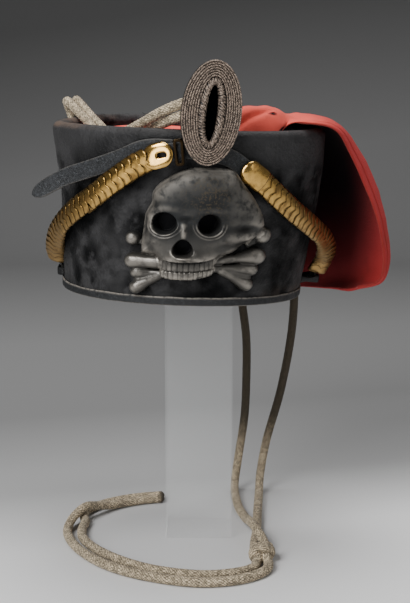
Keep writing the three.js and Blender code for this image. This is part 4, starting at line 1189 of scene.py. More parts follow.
class BUSBY_OT_crown_bag(bpy.types.Operator):
    """Make the red cloth crown and the bag that falls over the side"""

    bl_idname = "busby.crown_bag"
    bl_label = "Crown and Bag"

    ALONG = 190
    ACROSS = 96
    SHARES = (0.16, 0.6)
    FOLDS = {
        "large": (2.2, 30, 2.2), "long": (1, 0.45, 1), "small": (0.7, 11, 6.1),
        "ridges": (0.9, 24, 4.7), "ridges_long": (1, 0.6, 1), "sharp": 3, "from": (0.18, 0.3),
        "hung": 0.3, "edge": 0.25, "within": 0.06,
    }
    SEAM = {"at": 0.13, "width": 0.012, "below": (0.42, 0.5), "depth": 0.8, "dark": 0.6}
    MOTH_HOLES = (
        (0.352, 0.221, 0.0055, 0.0105), (0.381, 0.078, 0.007, 0.016), (0.389, 0.05, 0.008, 0.02),
    )
    MOTH_EDGE = (2.1, 1.3)
    CREASE = {"start": (0.262, 0.125), "end": (0.34, 0.245), "width": 4.5, "depth": 2.6}
    HANGS = (0.42, 0.60)
    # How much painted shade the inner face takes: where it fades across, its strength, and how much
    # less there is towards the hem
    LINING = {
        "fades": (0.80, 0.50), "power": 1.7, "low": (0.70, 0.92), "high_light": 0.62,
        "low_light": (0.34, 0.58),
    }
    # The front edge: how much thinner it is, how far in, and how much painted shade it takes where it
    # hangs
    EDGE = {"thin": 0.25, "within": 0.03, "dark": 0.9}
    FLAT = (0.205, 0.36)
    CUT_AREA = 0.055

    def execute(self, context):
        rows = [self.crown_row(*row) for row in CROWN_ROWS] + [self.flap_row(*row) for row in FLAP_ROWS]
        lines = np.array([curve_through(row, self.ACROSS) for row in rows])
        grid = np.stack([curve_through(lines[:, j], self.ALONG) for j in range(self.ACROSS)], 1)
        shares = (np.linspace(0, 1, count) for count in (self.ALONG, self.ACROSS))
        along, across = np.meshgrid(*shares, indexing="ij")
        normal = unit(np.cross(np.gradient(grid, axis=0), np.gradient(grid, axis=1)))
        hung = smoothstep(*self.HANGS, along)
        seam = bell(across - self.SEAM["at"], self.SEAM["width"])
        seam *= smoothstep(*self.SEAM["below"], along)
        sunk = self.SEAM["depth"] * seam + self.crease(along, across)
        lift = self.folds(grid, along, across, hung) - sunk
        middle = grid + normal * lift[..., None]
        thin = (1 - self.EDGE["thin"]) * smoothstep(self.EDGE["within"], 0, across)
        half = normal * (1 - thin)[..., None] * CLOTH_THICKNESS / 2
        faces_out = -1 if normal[self.ALONG * 3 // 4, self.ACROSS // 2, 0] < 0 else 1
        keep, eaten = self.moth_holes(along, across)
        points, faces, used = shell(middle + half * faces_out, middle - half * faces_out, keep)
        # dark: the seam line, and painted shade on the hanging flap's thin front edge
        dark = np.maximum(self.SEAM["dark"] * seam, self.EDGE["dark"] * thin * hung)
        values = {
            # inside: painted shade on the inner face, and darker cloth round the moth holes
            "inside": on_shell(eaten, np.maximum(self.lining(along, across), eaten), used),
            "seam": on_shell(dark, dark, used),
            "hung": on_shell(hung, hung, used),
        }
        places = np.stack((across * self.FLAT[0], along * self.FLAT[1]), -1).reshape(-1, 2)
        mesh = new_mesh("bag_cloth", to_frame(points), faces, values, np.tile(places, (2, 1))[used])
        bag = add_piece("bag_cloth", mesh, material_of(bag_cloth), ("crown_bag",))
        return {"FINISHED"}

    def folds(self, grid, along, across, hung):
        """How far the cloth rises in soft folds and sharper ridges, least where it hangs."""
        rise = layered_noise(grid * self.FOLDS["long"], (self.FOLDS["large"],))
        rise += layered_noise(grid, (self.FOLDS["small"],))
        strength, size, shift = self.FOLDS["ridges"]
        ridges = np.abs(noise_at(grid * self.FOLDS["ridges_long"], size, shift))
        ridges = np.clip(1 - self.FOLDS["sharp"] * ridges, 0, 1)
        rise += strength * ridges * smoothstep(*self.FOLDS["from"], along)
        rise *= 1 - (1 - self.FOLDS["hung"]) * hung
        within = self.FOLDS["within"]
        free = smoothstep(0, within, across) * smoothstep(1, 1 - within, across)
        return rise * (self.FOLDS["edge"] + (1 - self.FOLDS["edge"]) * free)

    def moth_holes(self, along, across):
        """The faces that the holes leave, and how dark the cloth is round them."""
        keep = np.ones((self.ALONG - 1, self.ACROSS - 1), bool)
        eaten = np.zeros(along.shape)
        for place_along, place_across, long, wide in self.MOTH_HOLES:
            ring = np.hypot((along - place_along) / long, (across - place_across) / wide)
            keep &= ring[:-1, :-1] > 1
            eaten = np.maximum(eaten, smoothstep(*self.MOTH_EDGE, ring))
        return keep, eaten

    def crease(self, along, across):
        """How deep the cloth is pressed in along a slant over the front of the crown."""
        flat = np.array(self.FLAT[::-1]) / MM
        ends = (flat * self.CREASE["start"], flat * self.CREASE["end"])
        _, away = from_segment(along * flat[0], across * flat[1], *ends)
        return self.CREASE["depth"] * bell(away, self.CREASE["width"])

    def lining(self, along, across):
        """How much painted shade falls on the inner face: all of it next to the hat, less towards the
        front edge and the hem.
        """
        fade = smoothstep(*self.LINING["fades"], across)
        low = smoothstep(*self.LINING["low"], along)
        least, more = self.LINING["low_light"]
        high_light = self.LINING["high_light"] * fade ** self.LINING["power"]
        return 1 - (1 - low) * high_light - low * (least + more * fade)

    def crown_row(self, front_turn, back_turn, ridge, shoulder):
        turns = np.radians((front_turn, back_turn))
        front, back = wall_point(turns, CROWN_SEAT["height"], CROWN_SEAT["out"])
        middle = np.array(ridge, float)
        near_front = front + (middle - front) * self.SHARES[0]
        near_front[2] = front[2] + shoulder
        near_back = middle + (back - middle) * self.SHARES[1]
        near_back[2] += CROWN_BULGE * np.sign(middle[2] - back[2])
        return front, near_front, middle, near_back, back

    def flap_row(self, front, ridge, back):
        first, middle, last = (np.array(point, float) for point in (front, ridge, back))
        near_front = (first + middle) / 2 + (FLAP_BULGE[0], 0, 0)
        near_back = (middle + last) / 2 + (FLAP_BULGE[1], 0, 0)
        return first, near_front, middle, near_back, last


class BUSBY_OT_field_badge(bpy.types.Operator):
    """Make the oval badge: a core, a wrapped roll and rings of braid"""

    bl_idname = "busby.field_badge"
    bl_label = "Field Badge"

    ROUND = 120
    FINE = 720
    ROLL_SECTION = ((0, 0), (0, 4.5), (0.22, 7.0), (0.55, 7.7), (0.9, 6.4))
    RING_SECTION = ((0.0, 2.0), (0.2, 0.85), (0.5, 0.5), (0.8, 0.85))
    RIM_SECTION = ((0, 3.6), (-0.2, 0.4), (-1, 0))
    WRAP = {
        "slew": (0.06, 0.16), "slew_varies": 0.4, "foot": 4.6, "rise": 3.9, "rise_varies": 0.25,
        "thread_varies": 0.1, "thin": 0.75, "dark": 0.8, "points": 9, "sides": 7,
    }
    STITCH = {
        "length": 0.8, "width": 0.31, "depth": 0.42, "pitch": 1.1, "lean": 0.6, "apart": 0.15,
        "sunk": 0.5, "smallest": 0.82, "dark": 0.35, "darker": 0.9, "shift": 0.25, "sides": 7,
    }

    def execute(self, context):
        material = material_of(silver_braid)
        add_piece("badge_base", self.base(), material, ("field_badge",))
        add_piece("badge_wraps", self.wraps(), material)
        add_piece("badge_braid", self.braid(material), material)
        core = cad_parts["badge_core"]
        core.data.materials.clear()
        core.data.materials.append(material_of(black_wool))
        return {"FINISHED"}

    def placed(self, points):
        """Points of the badge's plane (across, depth towards the front, up) in the shared frame."""
        flat = np.stack((points[..., 0], -points[..., 1], points[..., 2]), -1)
        return to_frame(flat @ BADGE_TURN.T + np.array(BADGE_PLACE))

    def ring_depth(self, k):
        depths = (BADGE_RINGS["first_depth"], BADGE_RINGS["last_depth"])
        return np.interp(k, (0, BADGE_RINGS["count"] - 1), depths)

    def oval(self, angle, away):
        return (BADGE_SLIT[0] + away) * np.sin(angle), (BADGE_SLIT[1] + away) * np.cos(angle)

    def distances(self, away):
        """Fine angles round an oval, and the distance along it at each."""
        fine = np.linspace(0, 2 * np.pi, self.FINE)
        return fine, run_lengths(np.stack(self.oval(fine, away), -1))

    def even_angles(self, away, count, shift=0.0):
        fine, distance = self.distances(away)
        even = (np.arange(count) + shift) * distance[-1] / count
        return np.interp(even, distance, fine, period=distance[-1])

    def base(self):
        roll, ring = BADGE_ROLL["width"], BADGE_RINGS["width"]
        section = [(share * roll, depth) for share, depth in self.ROLL_SECTION]
        for k in range(BADGE_RINGS["count"]):
            for share, drop in self.RING_SECTION:
                section.append((roll + (k + share) * ring, self.ring_depth(k) - drop))
        outside = roll + BADGE_RINGS["count"] * ring
        section += [(outside + step, depth) for step, depth in self.RIM_SECTION]
        away, depth = np.array(section).T[..., None]
        across, up = self.oval(full_turn(self.ROUND)[None, :], away)
        points = np.stack((across, np.broadcast_to(depth, across.shape), up), -1)
        # The whole base is painted dark: painted shade in the gaps between threads and rings, and on
        # the slit's walls
        values = {"crevice": np.ones(across.shape)}
        faces = grid_faces(*across.shape, True, True)
        return new_mesh("badge_base", self.placed(points), faces, values)

    def wraps(self):
        """Thick threads wound over the roll from the slit outwards, each a short bent tube."""
        chosen = np.random.default_rng(11)
        arc = np.linspace(0, np.pi, self.WRAP["points"])
        ring = full_turn(self.WRAP["sides"])
        away = BADGE_ROLL["width"] * (0.5 - 0.5 * np.cos(arc))
        swell = self.WRAP["thin"] + (1 - self.WRAP["thin"]) * np.sin(arc)
        # Each wrap darkens towards its feet: painted shade where it meets the base
        dark = np.append(np.repeat(self.WRAP["dark"] * (1 - np.sin(arc)), len(ring)), (1, 1))
        points, faces = [], []
        for k, turn in enumerate(self.even_angles(BADGE_ROLL["width"] / 2, BADGE_ROLL["wraps"])):
            slew = self.WRAP["slew"][k % 2] * (1 + self.WRAP["slew_varies"] * chosen.normal())
            across, up = self.oval(turn + slew * (2 * arc / np.pi - 1), away)
            depth = self.WRAP["foot"] + self.WRAP["rise"] * np.sin(arc)
            depth += self.WRAP["rise_varies"] * chosen.normal()
            thick = BADGE_ROLL["thread"] * (1 + self.WRAP["thread_varies"] * chosen.normal())
            line = np.stack((across, depth, up), -1)
            made, quads = tube(rings_about(line, ring, (thick * swell)[:, None]))
            faces += [tuple(i + k * len(made) for i in quad) for quad in quads]
            points.append(made)
        values = {"crevice": np.tile(dark, len(points))}
        return new_mesh("badge_wraps", self.placed(np.concatenate(points)), faces, values)

    def braid(self, material):
        """Rings of two rows of leaning stitches."""
        places, axes = [], []
        for k in range(BADGE_RINGS["count"]):
            middle = BADGE_ROLL["width"] + (k + 0.5) * BADGE_RINGS["width"]
            count = int(self.distances(middle)[1][-1] / self.STITCH["pitch"])
            depth = np.full(count, self.ring_depth(k) - self.STITCH["sunk"])
            for row in (-1, 1):
                angle = self.even_angles(middle, count, self.STITCH["shift"] * row)
                apart = row * BADGE_RINGS["width"] * self.STITCH["apart"]
                across, up = self.oval(angle, middle + apart)
                places.append(self.placed(np.stack((across, depth, up), -1)))
                along = unit(np.stack(self.oval(angle + np.pi / 2, middle), -1))
                flat = np.stack((along[:, 0], 0 * angle, along[:, 1]), -1)
                away = np.cross(flat, (0.0, 1.0, 0.0))
                lean = self.STITCH["lean"] * row
                long = math.cos(lean) * flat + math.sin(lean) * away
                front = np.broadcast_to((0.0, -1.0, 0.0), long.shape)
                axes.append(np.stack((long, np.cross(front, long), front), -1))
        axes = HAT_TURN @ BADGE_TURN @ np.concatenate(axes)
        places = np.concatenate(places)
        return placed_copies(
            "badge_braid", self.stitch(), places, axes, material, 5, self.STITCH["smallest"])

    def stitch(self):
        latitude = np.linspace(-np.pi / 2, np.pi / 2, 6)[1:-1, None]
        longitude = full_turn(self.STITCH["sides"])
        rings = np.stack(np.broadcast_arrays(
            np.sin(latitude) * self.STITCH["length"],
            np.cos(latitude) * np.cos(longitude) * self.STITCH["width"],
            np.cos(latitude) * np.sin(longitude) * self.STITCH["depth"]), -1)
        points, faces = tube(rings)
        # Each stitch darkens towards its back: painted shade at its root
        dark = np.clip(self.STITCH["dark"] - points[:, 2] * self.STITCH["darker"], 0, 1)
        return new_mesh("stitch", points, faces, {"crevice": dark})


def distance_to_outline(x, z, outline):
    """Distance inside a closed outline, negative outside it."""
    loop = curve_through([*outline, outline[0]], 6 * len(outline))
    best = np.full(x.shape, 1e9)
    inside = np.zeros(x.shape, bool)
    for start, end in zip(loop[:-1], loop[1:]):
        best = np.minimum(best, from_segment(x, z, start, end)[1])
        (ax, az), (bx, bz) = start, end
        crosses = (az > z) != (bz > z)
        rise = bz - az if bz != az else 1e-9
        inside ^= crosses & (x < ax + (bx - ax) * (z - az) / rise)
    return np.where(inside, best, -best)


def smooth_max(first, second, blend):
    return (first + second + np.sqrt((first - second) ** 2 + blend**2)) / 2


class BUSBY_OT_skull(bpy.types.Operator):
    """Make the cast skull and crossed bones as one relief bent round the wall"""

    bl_idname = "busby.skull"
    bl_label = "Skull and Bones"

    SPAN = ((-58.0, 47.0), (7.0, 104.0))
    EDGE = 0.5
    LEAST = 0.05
    OPEN = 0.02
    PALE = (66.0, 32.0)
    VALLEY = (6.0, 11.0)
    # Rubbed wear on the ridges and scratches on the right; the pale band inside the outline is partly
    # worn edge and partly painted highlight
    RUBBED = {"ridges": 0.9, "edge": 0.8, "edge_within": (5.0, 1.0), "right": 0.22}
    RUBBED_RIGHT = (25.0, 74.0, 13.0, 17.0)
    # How strongly painted shade darkens the grooves
    SUNK = 0.8
    FLECKED = (0.0, 82.0, 13.0, 15.0)
    BLUR = {"times": 14, "step": 2}
    BAR = {"swells": (0.45, 1.0), "lift": 0.7, "falls": -2}

    def execute(self, context):
        grid = context.scene.busby_sizes.skull_grid / MM
        x, z = np.meshgrid(*(np.arange(*span, grid) for span in self.SPAN), indexing="ij")
        relief, hollow, pit, inside = self.relief(x, z)
        raised = relief > self.EDGE
        outer = wall_point(x / BEND_RADIUS, z, CLEARANCE + np.maximum(relief, self.LEAST))
        inner = wall_point(x / BEND_RADIUS, z, CLEARANCE + 0 * relief)
        points, faces, used = shell(outer, inner, raised[:-1, :-1])
        solid = raised * (pit < self.OPEN) * 1.0
        around = self.blurred(relief * solid) / np.maximum(self.blurred(solid), self.OPEN)
        sharp = (relief - around) * solid
        # A pale band inside the outline: worn edges, and painted highlight on the border's steep slopes
        worn = self.RUBBED["edge"] * smoothstep(*self.RUBBED["edge_within"], inside)
        worn += self.RUBBED["right"] * self.mound(x, z, *self.RUBBED_RIGHT)
        high = np.clip(sharp * self.RUBBED["ridges"], 0, 1) + worn * (inside > 0)
        # Painted shade in the grooves between the forms, kept off the outline
        low = np.clip(-sharp * self.SUNK, 0, 1) * smoothstep(*self.VALLEY, inside)
        pale, flecked = smoothstep(*self.PALE, z), self.mound(x, z, *self.FLECKED)
        values = {"high": on_shell(high, 0 * high, used)}
        for label, value in (("low", low), ("hollow", hollow), ("pale", pale), ("flecked", flecked)):
            values[label] = on_shell(value, value, used)
        mesh = new_mesh("skull_relief", to_frame(points), faces, values)
        metal = material_of(blackened_metal)
        add_piece("skull_relief", mesh, metal, ("skull_and_bones",))
        return {"FINISHED"}

    def blurred(self, soft):
        steps = (self.BLUR["step"], -self.BLUR["step"])
        for _ in range(self.BLUR["times"]):
            soft = (soft + sum(np.roll(soft, step, axis) for axis in (0, 1) for step in steps)) / 5
        return soft

    def bar(self, x, z, start, end, r0, r1):
        """A round bar's height, thicker towards its end."""
        share, away = from_segment(x, z, start, end)
        radius = r0 + (r1 - r0) * smoothstep(*self.BAR["swells"], share)
        top = np.sqrt(np.maximum(radius**2 - away**2, 0)) + self.BAR["lift"] * radius
        return np.where(away < radius, top, self.BAR["falls"] * (away - radius))

    def mound(self, x, z, cx, cz, rx, rz):
        return bell(x - cx, rx) * bell(z - cz, rz)

    def relief(self, x, z):
        inside = distance_to_outline(x, z, SKULL_OUTLINE)
        rise = np.clip(inside / SKULL_SLOPE["reach"], 0, 1)
        dome = SKULL_RELIEF * np.sqrt(np.clip(1 - (1 - rise) ** SKULL_SLOPE["power"], 0, 1))
        head = np.where(inside > 0, dome, inside)
        for height, *place in FACE_FORMS.values():
            head += height * self.mound(x, z, *place)
        hollow, pit = np.zeros_like(head), np.zeros_like(head)
        for hole in FACE_HOLES:
            (cx, cz), (rx, rz) = hole["at"], hole["half"]
            narrow = rx * (1 - hole["narrows"] * np.clip((z - cz) / rz, -1, 1))
            ring = np.hypot((x - cx) / narrow, (z - cz) / rz)
            for height, place, width in hole["lips"]:
                head += height * bell(ring - place, width) * smoothstep(*hole["below"], z - cz)
            deep = smoothstep(*HOLE["slope"], ring)
            head = head * (1 - deep) + HOLE["floor"] * deep
            hollow = np.maximum(hollow, smoothstep(*HOLE["black"], ring))
            pit = np.maximum(pit, deep)
        head = self.with_teeth(x, z, head)
        arch = self.bar(x, z, *CHEEK_ARCH)
        head = smooth_max(head, arch + CHEEK_RISE * (arch > 0), SKULL_JOINS["cheek"])
        bones = np.max([self.bar(x, z, *bone) for bone in BONE_RUNS], axis=0)
        joined = smooth_max(head, bones, SKULL_JOINS["bones"]) - SKULL_JOINS["sunk"]
        whole = np.where(inside > SKULL_JOINS["bones_within"], head, joined)
        return whole, hollow, pit, inside

    def with_teeth(self, x, z, head):
        """Two rows of teeth that meet along a curve which is lowest in the middle."""
        from_middle = x - TEETH["middle"]
        bow = from_middle**2
        meeting = TEETH["meet"] + TEETH["meet_bow"] * bow
        row_top = meeting + TEETH["top"]
        row_foot = TEETH["foot"] + TEETH["foot_bow"] * bow
        rows = smoothstep(*TEETH["gum_edge"], z - row_top)
        rows *= smoothstep(*TEETH["left"], x) * smoothstep(*TEETH["right"], x)
        bulge = TEETH["bulge"] - TEETH["bulge_bow"] * bow
        flatter = np.maximum(head + (bulge - head) * TEETH["flatter"], TEETH["least"])
        head = head + (flatter - head) * rows
        across = x + TEETH["spread"] * from_middle**3
        lower = across / TEETH["lower"] + TEETH["lower_shift"]
        phase = np.where(z > meeting, across / TEETH["upper"], lower)
        away = {"groove": phase - np.round(phase), "parting": z - meeting, "gum": z - row_top}
        for label, distance in away.items():
            depth, width = TEETH[label]
            head -= rows * depth * bell(distance, width)
        chin = (z - row_foot + TEETH["chin"]) * TEETH["chin_slope"]
        return np.where(z < row_foot, np.minimum(head, chin), head)


def strap_mesh(name, path, sizes, tongue=None, step=1.0, black=0.0):
    """A strap with rounded edges and a scored line inside each edge, blacked or worn."""
    distance = np.linspace(0, path.length, int(path.length / step))[:, None]
    angle = full_turn(STRAP_FORM["sides"])[None, :]
    across = np.sign(np.cos(angle)) * np.abs(np.cos(angle)) ** STRAP_FORM["across"]
    out = np.sign(np.sin(angle)) * np.abs(np.sin(angle)) ** STRAP_FORM["out"]
    narrow = np.ones_like(distance)
    if tongue:
        left = np.clip((path.length - distance) / tongue, STRAP_FORM["sharpest"], 1)
        narrow = np.sqrt(1 - (1 - left) ** 2)
    depth, place, width = STRAP_FORM["score"]
    scored = depth * bell(np.abs(across) - place, width) * (out > 0)
    high = sizes["thickness"] * (0.5 + 0.5 * out) - scored
    rings = path.at(distance, across * narrow * sizes["width"] / 2, high)
    points, faces = tube(rings)
    edge = STRAP_FORM["scuffed"] * (1 - black) * smoothstep(*STRAP_FORM["edge"], np.abs(across))
    edge = np.broadcast_to(edge, rings.shape[:2])
    values = {"edge": np.append(edge, (0, 0)), "black": np.full(len(points), black)}
    return new_mesh(name, to_frame(points), faces, values)


class BUSBY_OT_straps(bpy.types.Operator):
    """Make the leather straps, the side tabs and the keeper of the cap lines"""

    bl_idname = "busby.straps"
    bl_label = "Straps and Tabs"

    def execute(self, context):
        leather = material_of(worn_leather)
        blacked = {"step": SIDE_TAB["step"], "black": 1.0}
        straps = [
            ("strap_left", STRAP_LEFT_ROWS, STRAP, {}),
            ("strap_right", STRAP_RIGHT_ROWS, STRAP, {"tongue": TONGUE_TAPER}),
            ("line_keeper", KEEPER_ROWS, KEEPER, {}),
        ]
        for node, place in SIDE_TABS.items():
            straps.append((node, self.tab_rows(*place), SIDE_TAB, blacked))
        for node, rows, sizes, extra in straps:
            name = node + "_leather"
            mesh = strap_mesh(name, WallPath(rows), sizes, **extra)
            add_piece(name, mesh, leather, (node,))
        return {"FINISHED"}

    def tab_rows(self, turn, height, over):
        half, foot = SIDE_TAB["half_turn"], SIDE_TAB["edge_out"]
        shape = ((-1, 0), (-0.8, 0.05), (-0.55, 1), (0, 1), (0.55, 1), (0.8, 0.05), (1, 0))
        return [(turn + half * side, height, foot + (over - foot) * lift) for side, lift in shape]


def ring_plate(path, start, outer, inner, lift, thickness, dome=0.0, tilt=0.0):
    """A frame laid on a path, between an outer and an inner outline of distances along and across."""
    section = (
        (0, 0), (0, 0.7), (0.06, 1), (0.2, 1.05), (0.35, 1.07), (0.5, 1.07), (0.65, 1.06), (0.8, 1.04),
        (0.94, 1), (1, 0.7), (1, 0),
    )
    share, high = np.array(section).T[..., None]
    along, across = (inner[:, i] + (outer - inner)[:, i] * share for i in (0, 1))
    arch = dome * np.sqrt(np.clip(1 - (across / np.abs(outer[:, 1]).max()) ** 2, 0, 1))
    out = STRAP["thickness"] + lift + thickness * high + arch + tilt * across
    points = path.at(start + along, across, out)
    return points, grid_faces(*points.shape[:2], True, True)


def rounded_frame(half_long, half_wide, corner, count=72, steps=400):
    """A rounded rectangle about the origin, by even angles."""
    angle = full_turn(count)
    direction = np.stack((np.cos(angle), np.sin(angle)), -1)
    flat = np.array((half_long - corner, half_wide - corner))
    reach = np.linspace(0, half_long + half_wide, steps)[:, None] * direction[:, None]
    beyond = np.linalg.norm(np.maximum(np.abs(reach) - flat, 0), axis=-1) <= corner
    last = beyond.sum(1) - 1
    return reach[np.arange(count), last]


class BUSBY_OT_chin_scales(bpy.types.Operator):
    """Make the brass scales of the chin strap, its end plate and its buckle"""

    bl_idname = "busby.chin_scales"
    bl_label = "Chin Scales"

    HALF = 8.4
    EDGE = 0.5
    DOME = 3.7
    ROLL = {"left": math.radians(64), "right": math.radians(-70)}
    UNEVEN = 0.03
    ROLL_WITHIN = (85.0, 20.0)
    RISE = 0.4
    OVERLAP = 1.75
    METAL = 0.5
    LOBE = 0.32
    CORNER = 0.12
    SMALLEST = 0.985
    # How much painted shade darkens each scale's free lip
    DULL_LIP = 0.85
    COVERED_EDGE = {"after": 0.02, "width": 0.035, "dark": 0.9}
    CAP = {"length": 20.0, "beyond": 6.5, "lift": 0.7, "wider": 0.3, "straight": 0.6}
    SIDE_POINTS = 29

    def execute(self, context):
        brass = material_of(old_brass)
        pitch = context.scene.busby_sizes.scale_pitch / MM
        left, right = WallPath(STRAP_LEFT_ROWS), WallPath(STRAP_RIGHT_ROWS)
        scale = self.scale(pitch)
        chosen = np.random.default_rng(4)
        for name, path, run in (("left", left, SCALES_LEFT), ("right", right, SCALES_RIGHT)):
            distance = run["start"] + pitch * np.arange(run["count"])
            centre, along, side, normal = path.axes(distance)
            roll = self.ROLL[name] * smoothstep(*self.ROLL_WITHIN, distance)[:, None]
            roll = roll + self.UNEVEN * chosen.normal(size=roll.shape)
            normal = np.cos(roll) * normal + np.sin(roll) * side
            places = to_frame(centre + normal * SCALE_SEAT)
            axes = HAT_TURN @ np.stack((along, np.cross(normal, along), normal), -1)
            node = "chin_scales_" + name
            mesh = placed_copies(node + "_plates", scale, places, axes, brass, 2, self.SMALLEST)
            add_piece(mesh.name, mesh, brass, (node,))
        self.cap(right, SCALES_RIGHT["start"] + SCALES_RIGHT["count"] * pitch, brass)
        plate_start = SCALES_LEFT["start"] + SCALES_LEFT["count"] * pitch + FRONT_GAP
        self.end_plate(left, plate_start, brass)
        self.buckle(left, plate_start + END_PLATE["length"] + FRONT_GAP, brass)
        return {"FINISHED"}

    def scale(self, pitch):
        """One arched scale: its low end lies under the scale behind, its free edge has two lobes."""
        across = self.across()
        covered = 1 - 1 / self.OVERLAP
        rows = ((0, 0.3, 3), (0.34, 0.64, 16), (0.7, 1, 5))
        along = np.concatenate([np.linspace(*row) for row in rows])[:, None]
        lobes = self.LOBE * np.abs(np.sin(np.pi * across)) - self.CORNER * across**4
        reach = pitch * self.OVERLAP * (along - covered) + pitch * along**2 * lobes
        height = self.EDGE + self.DOME * np.sqrt(1 - across**2) + self.RISE * (along - covered)
        outer = np.stack(np.broadcast_arrays(reach, across * self.HALF, height), -1)
        points, faces, used = shell(outer, outer - (0.0, 0.0, self.METAL))
        seam = covered + (1 - covered**2) * lobes / self.OVERLAP
        crevice = bell(along - seam - self.COVERED_EDGE["after"], self.COVERED_EDGE["width"])
        # Painted shade on the free lip, which would otherwise catch the light
        crevice = np.maximum(crevice, self.DULL_LIP * smoothstep(0.9, 1.0, along))
        # Dark seam lines on top, and painted shade on the whole underside
        crevice = on_shell(crevice * self.COVERED_EDGE["dark"], np.ones(crevice.shape), used)
        return new_mesh("scale", points, faces, {"crevice": crevice})

    def across(self):
        return np.sin(np.linspace(-np.pi / 2, np.pi / 2, self.SIDE_POINTS))[None, :]

    def cap(self, path, end, brass):
        """The smooth round end over the right chain's last scales."""
        straight = self.CAP["straight"]
        turn = np.linspace(0, np.pi / 2, 14)[1:]
        rounded = straight + (1 - straight) * np.sin(turn)
        share = np.concatenate((np.linspace(0, straight, 8), rounded))[:, None]
        across = self.across()
        past = np.clip((share - straight) / (1 - straight), 0, 1)
        narrow = np.sqrt(np.clip(1 - past**2, 0.0004, 1))
        distance = end + self.CAP["beyond"] - self.CAP["length"] * (1 - share)
        height = SCALE_SEAT + self.CAP["lift"] + self.EDGE + self.DOME * narrow * np.sqrt(1 - across**2)
        side = across * narrow * (self.HALF + self.CAP["wider"])
        outer, inner = (path.at(distance, side, height - drop) for drop in (0, self.METAL))
        points, faces, _ = shell(outer, inner)
        mesh = new_mesh("chin_scales_cap", to_frame(points), faces, {"crevice": np.zeros(len(points))})
        add_piece("chin_scales_cap", mesh, brass)

    def end_plate(self, path, start, brass):
        length, half = END_PLATE["length"], END_PLATE["half"]
        whole = length + END_PLATE["tail"]
        outer = rounded_frame(whole / 2, half, END_PLATE["corner"]) + (length - whole / 2, 0)
        slot = rounded_frame(END_SLOT["half_length"], END_SLOT["half"], END_SLOT["corner"])
        slot = slot + (length - END_SLOT["from_end"], 0)
        points, faces = ring_plate(
            path, start, outer, slot, END_PLATE["lift"], END_PLATE["thickness"], END_PLATE["dome"],
            END_PLATE["tilt"])
        plain = np.zeros(points.shape[:2])
        values = {"crevice": plain, "polish": plain + 1}
        mesh = new_mesh("end_plate_brass", to_frame(points), faces, values)
        add_piece("end_plate_brass", mesh, brass, ("end_plate",))

    def buckle(self, path, start, brass):
        length, half, wire = BUCKLE["length"], BUCKLE["half"], BUCKLE["wire"]
        round_out, round_in = BUCKLE["corners"]
        outer = rounded_frame(length / 2, half, round_out) + (length / 2, 0)
        inner = rounded_frame(length / 2 - wire, half - wire, round_in) + (length / 2, 0)
        points, faces = ring_plate(path, start, outer, inner, BUCKLE["lift"], BUCKLE["thickness"])
        mesh = new_mesh("buckle_brass", to_frame(points), faces, {"crevice": np.ones(points.shape[:2])})
        add_piece("buckle_brass", mesh, brass, ("buckle",))


class BUSBY_OT_stand(bpy.types.Operator):
    """Make the clear block that the hat rests on"""

    bl_idname = "busby.stand"
    bl_label = "Clear Stand"

    BEVEL = 0.0008

    def execute(self, context):
        low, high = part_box("stand")
        shape = bmesh.new()
        bmesh.ops.create_cube(shape, size=1.0)
        for vertex in shape.verts:
            vertex.co = Vector((low[i] + (vertex.co[i] + 0.5) * (high[i] - low[i]) for i in range(3)))
        bmesh.ops.bevel(shape, geom=shape.edges[:], offset=self.BEVEL, segments=3, affect="EDGES")
        mesh = bpy.data.meshes.new("stand_block")
        shape.to_mesh(mesh)
        shape.free()
        add_piece("stand_block", mesh, material_of(clear_block), ("stand",))
        return {"FINISHED"}


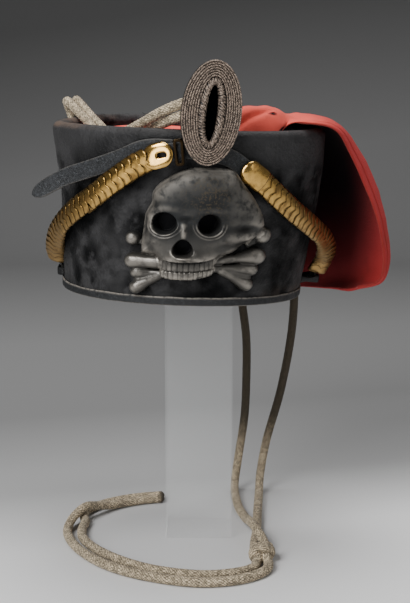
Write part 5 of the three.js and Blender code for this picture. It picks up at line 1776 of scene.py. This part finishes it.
class BUSBY_OT_stage(bpy.types.Operator):
    """Make the pale floor, the soft lights and the camera"""

    bl_idname = "busby.stage"
    bl_label = "Stage"

    CAMERA_PLACE = (0.0047, -1.0, 0.355)
    CAMERA_TILT = math.radians(80.3)
    LENS = 77.6
    SENSOR = 36.0
    LIGHTS = (
        ("key", (-0.95, -1.25, 1.45), (0.0, 0.0, 0.26), 1.0, 41.0),
        ("fill", (1.3, -1.1, 0.7), (0.0, 0.0, 0.22), 1.2, 4.5),
        ("top", (0.1, 0.25, 1.7), (0.0, 0.0, 0.2), 0.9, 22.0),
        ("glint", (-0.6, -1.04, 0.43), (-0.025, -0.115, 0.305), 0.5, 4.4),
    )
    WORLD = 0.14
    BACK = 1.5
    CURVE = 0.6
    CURVE_POINTS = 24
    WALL_TOP = 3.0

    def execute(self, context):
        self.camera(context)
        self.floor(context)
        for name, place, target, size, power in self.LIGHTS:
            light = bpy.data.lights.new(name, "AREA")
            light.shape = "DISK"
            light.size = size
            light.energy = power
            lamp = bpy.data.objects.new(name, light)
            lamp.location = place
            lamp.rotation_euler = (Vector(target) - Vector(place)).to_track_quat("-Z", "Y").to_euler()
            context.scene.collection.objects.link(lamp)
        world = bpy.data.worlds.new("studio")
        world.use_nodes = True
        world.node_tree.nodes["Background"].inputs["Color"].default_value = (self.WORLD,) * 3 + (1.0,)
        context.scene.world = world
        return {"FINISHED"}

    def camera(self, context):
        lens = bpy.data.cameras.new("camera")
        lens.lens = self.LENS
        lens.sensor_width = self.SENSOR
        camera = bpy.data.objects.new("camera", lens)
        camera.location = self.CAMERA_PLACE
        camera.rotation_euler = (self.CAMERA_TILT, 0.0, 0.0)
        context.scene.collection.objects.link(camera)
        context.scene.camera = camera

    def floor(self, context):
        width = context.scene.busby_sizes.floor_width
        angle = np.linspace(0, np.pi / 2, self.CURVE_POINTS)
        curve = self.BACK + self.CURVE * np.sin(angle)
        y = np.concatenate(((-width / 2,), curve, curve[-1:]))
        z = np.concatenate(((0.0,), self.CURVE * (1 - np.cos(angle)), (self.WALL_TOP,)))
        sides = np.array((-width / 2, width / 2))
        points = np.stack(np.broadcast_arrays(sides[None, :], y[:, None], z[:, None]), -1)
        mesh = new_mesh("floor", points, grid_faces(len(y), 2))
        floor = bpy.data.objects.new("floor", mesh)
        context.scene.collection.objects.link(floor)
        mesh.materials.append(material_of(studio_floor))


class BUSBY_PT_panel(bpy.types.Panel):
    """Lists the busby's pieces"""

    bl_idname = "BUSBY_PT_panel"
    bl_label = "Busby"
    bl_space_type = "VIEW_3D"
    bl_region_type = "UI"
    bl_category = "Busby"

    def draw(self, context):
        for group in (context.scene.busby_sizes, context.scene.busby_colours):
            column = self.layout.column()
            for key in type(group).__annotations__:
                column.prop(group, key)
        for operator in OPERATORS:
            self.layout.operator(operator.bl_idname)


OPERATORS = (
    BUSBY_OT_stage,
    BUSBY_OT_cap_lines,
    BUSBY_OT_fur_body,
    BUSBY_OT_rim_binding,
    BUSBY_OT_crown_bag,
    BUSBY_OT_field_badge,
    BUSBY_OT_skull,
    BUSBY_OT_straps,
    BUSBY_OT_chin_scales,
    BUSBY_OT_stand,
)
CLASSES = (BusbySizes, BusbyColours, *OPERATORS, BUSBY_PT_panel)


def register():
    for made in CLASSES:
        bpy.utils.register_class(made)
    bpy.types.Scene.busby_sizes = PointerProperty(type=BusbySizes)
    bpy.types.Scene.busby_colours = PointerProperty(type=BusbyColours)


def unregister():
    del bpy.types.Scene.busby_colours
    del bpy.types.Scene.busby_sizes
    for made in reversed(CLASSES):
        bpy.utils.unregister_class(made)


def main():
    register()
    for operator in OPERATORS:
        group, name = operator.bl_idname.split(".")
        getattr(getattr(bpy.ops, group), name)()


if __name__ == "__main__":
    main()
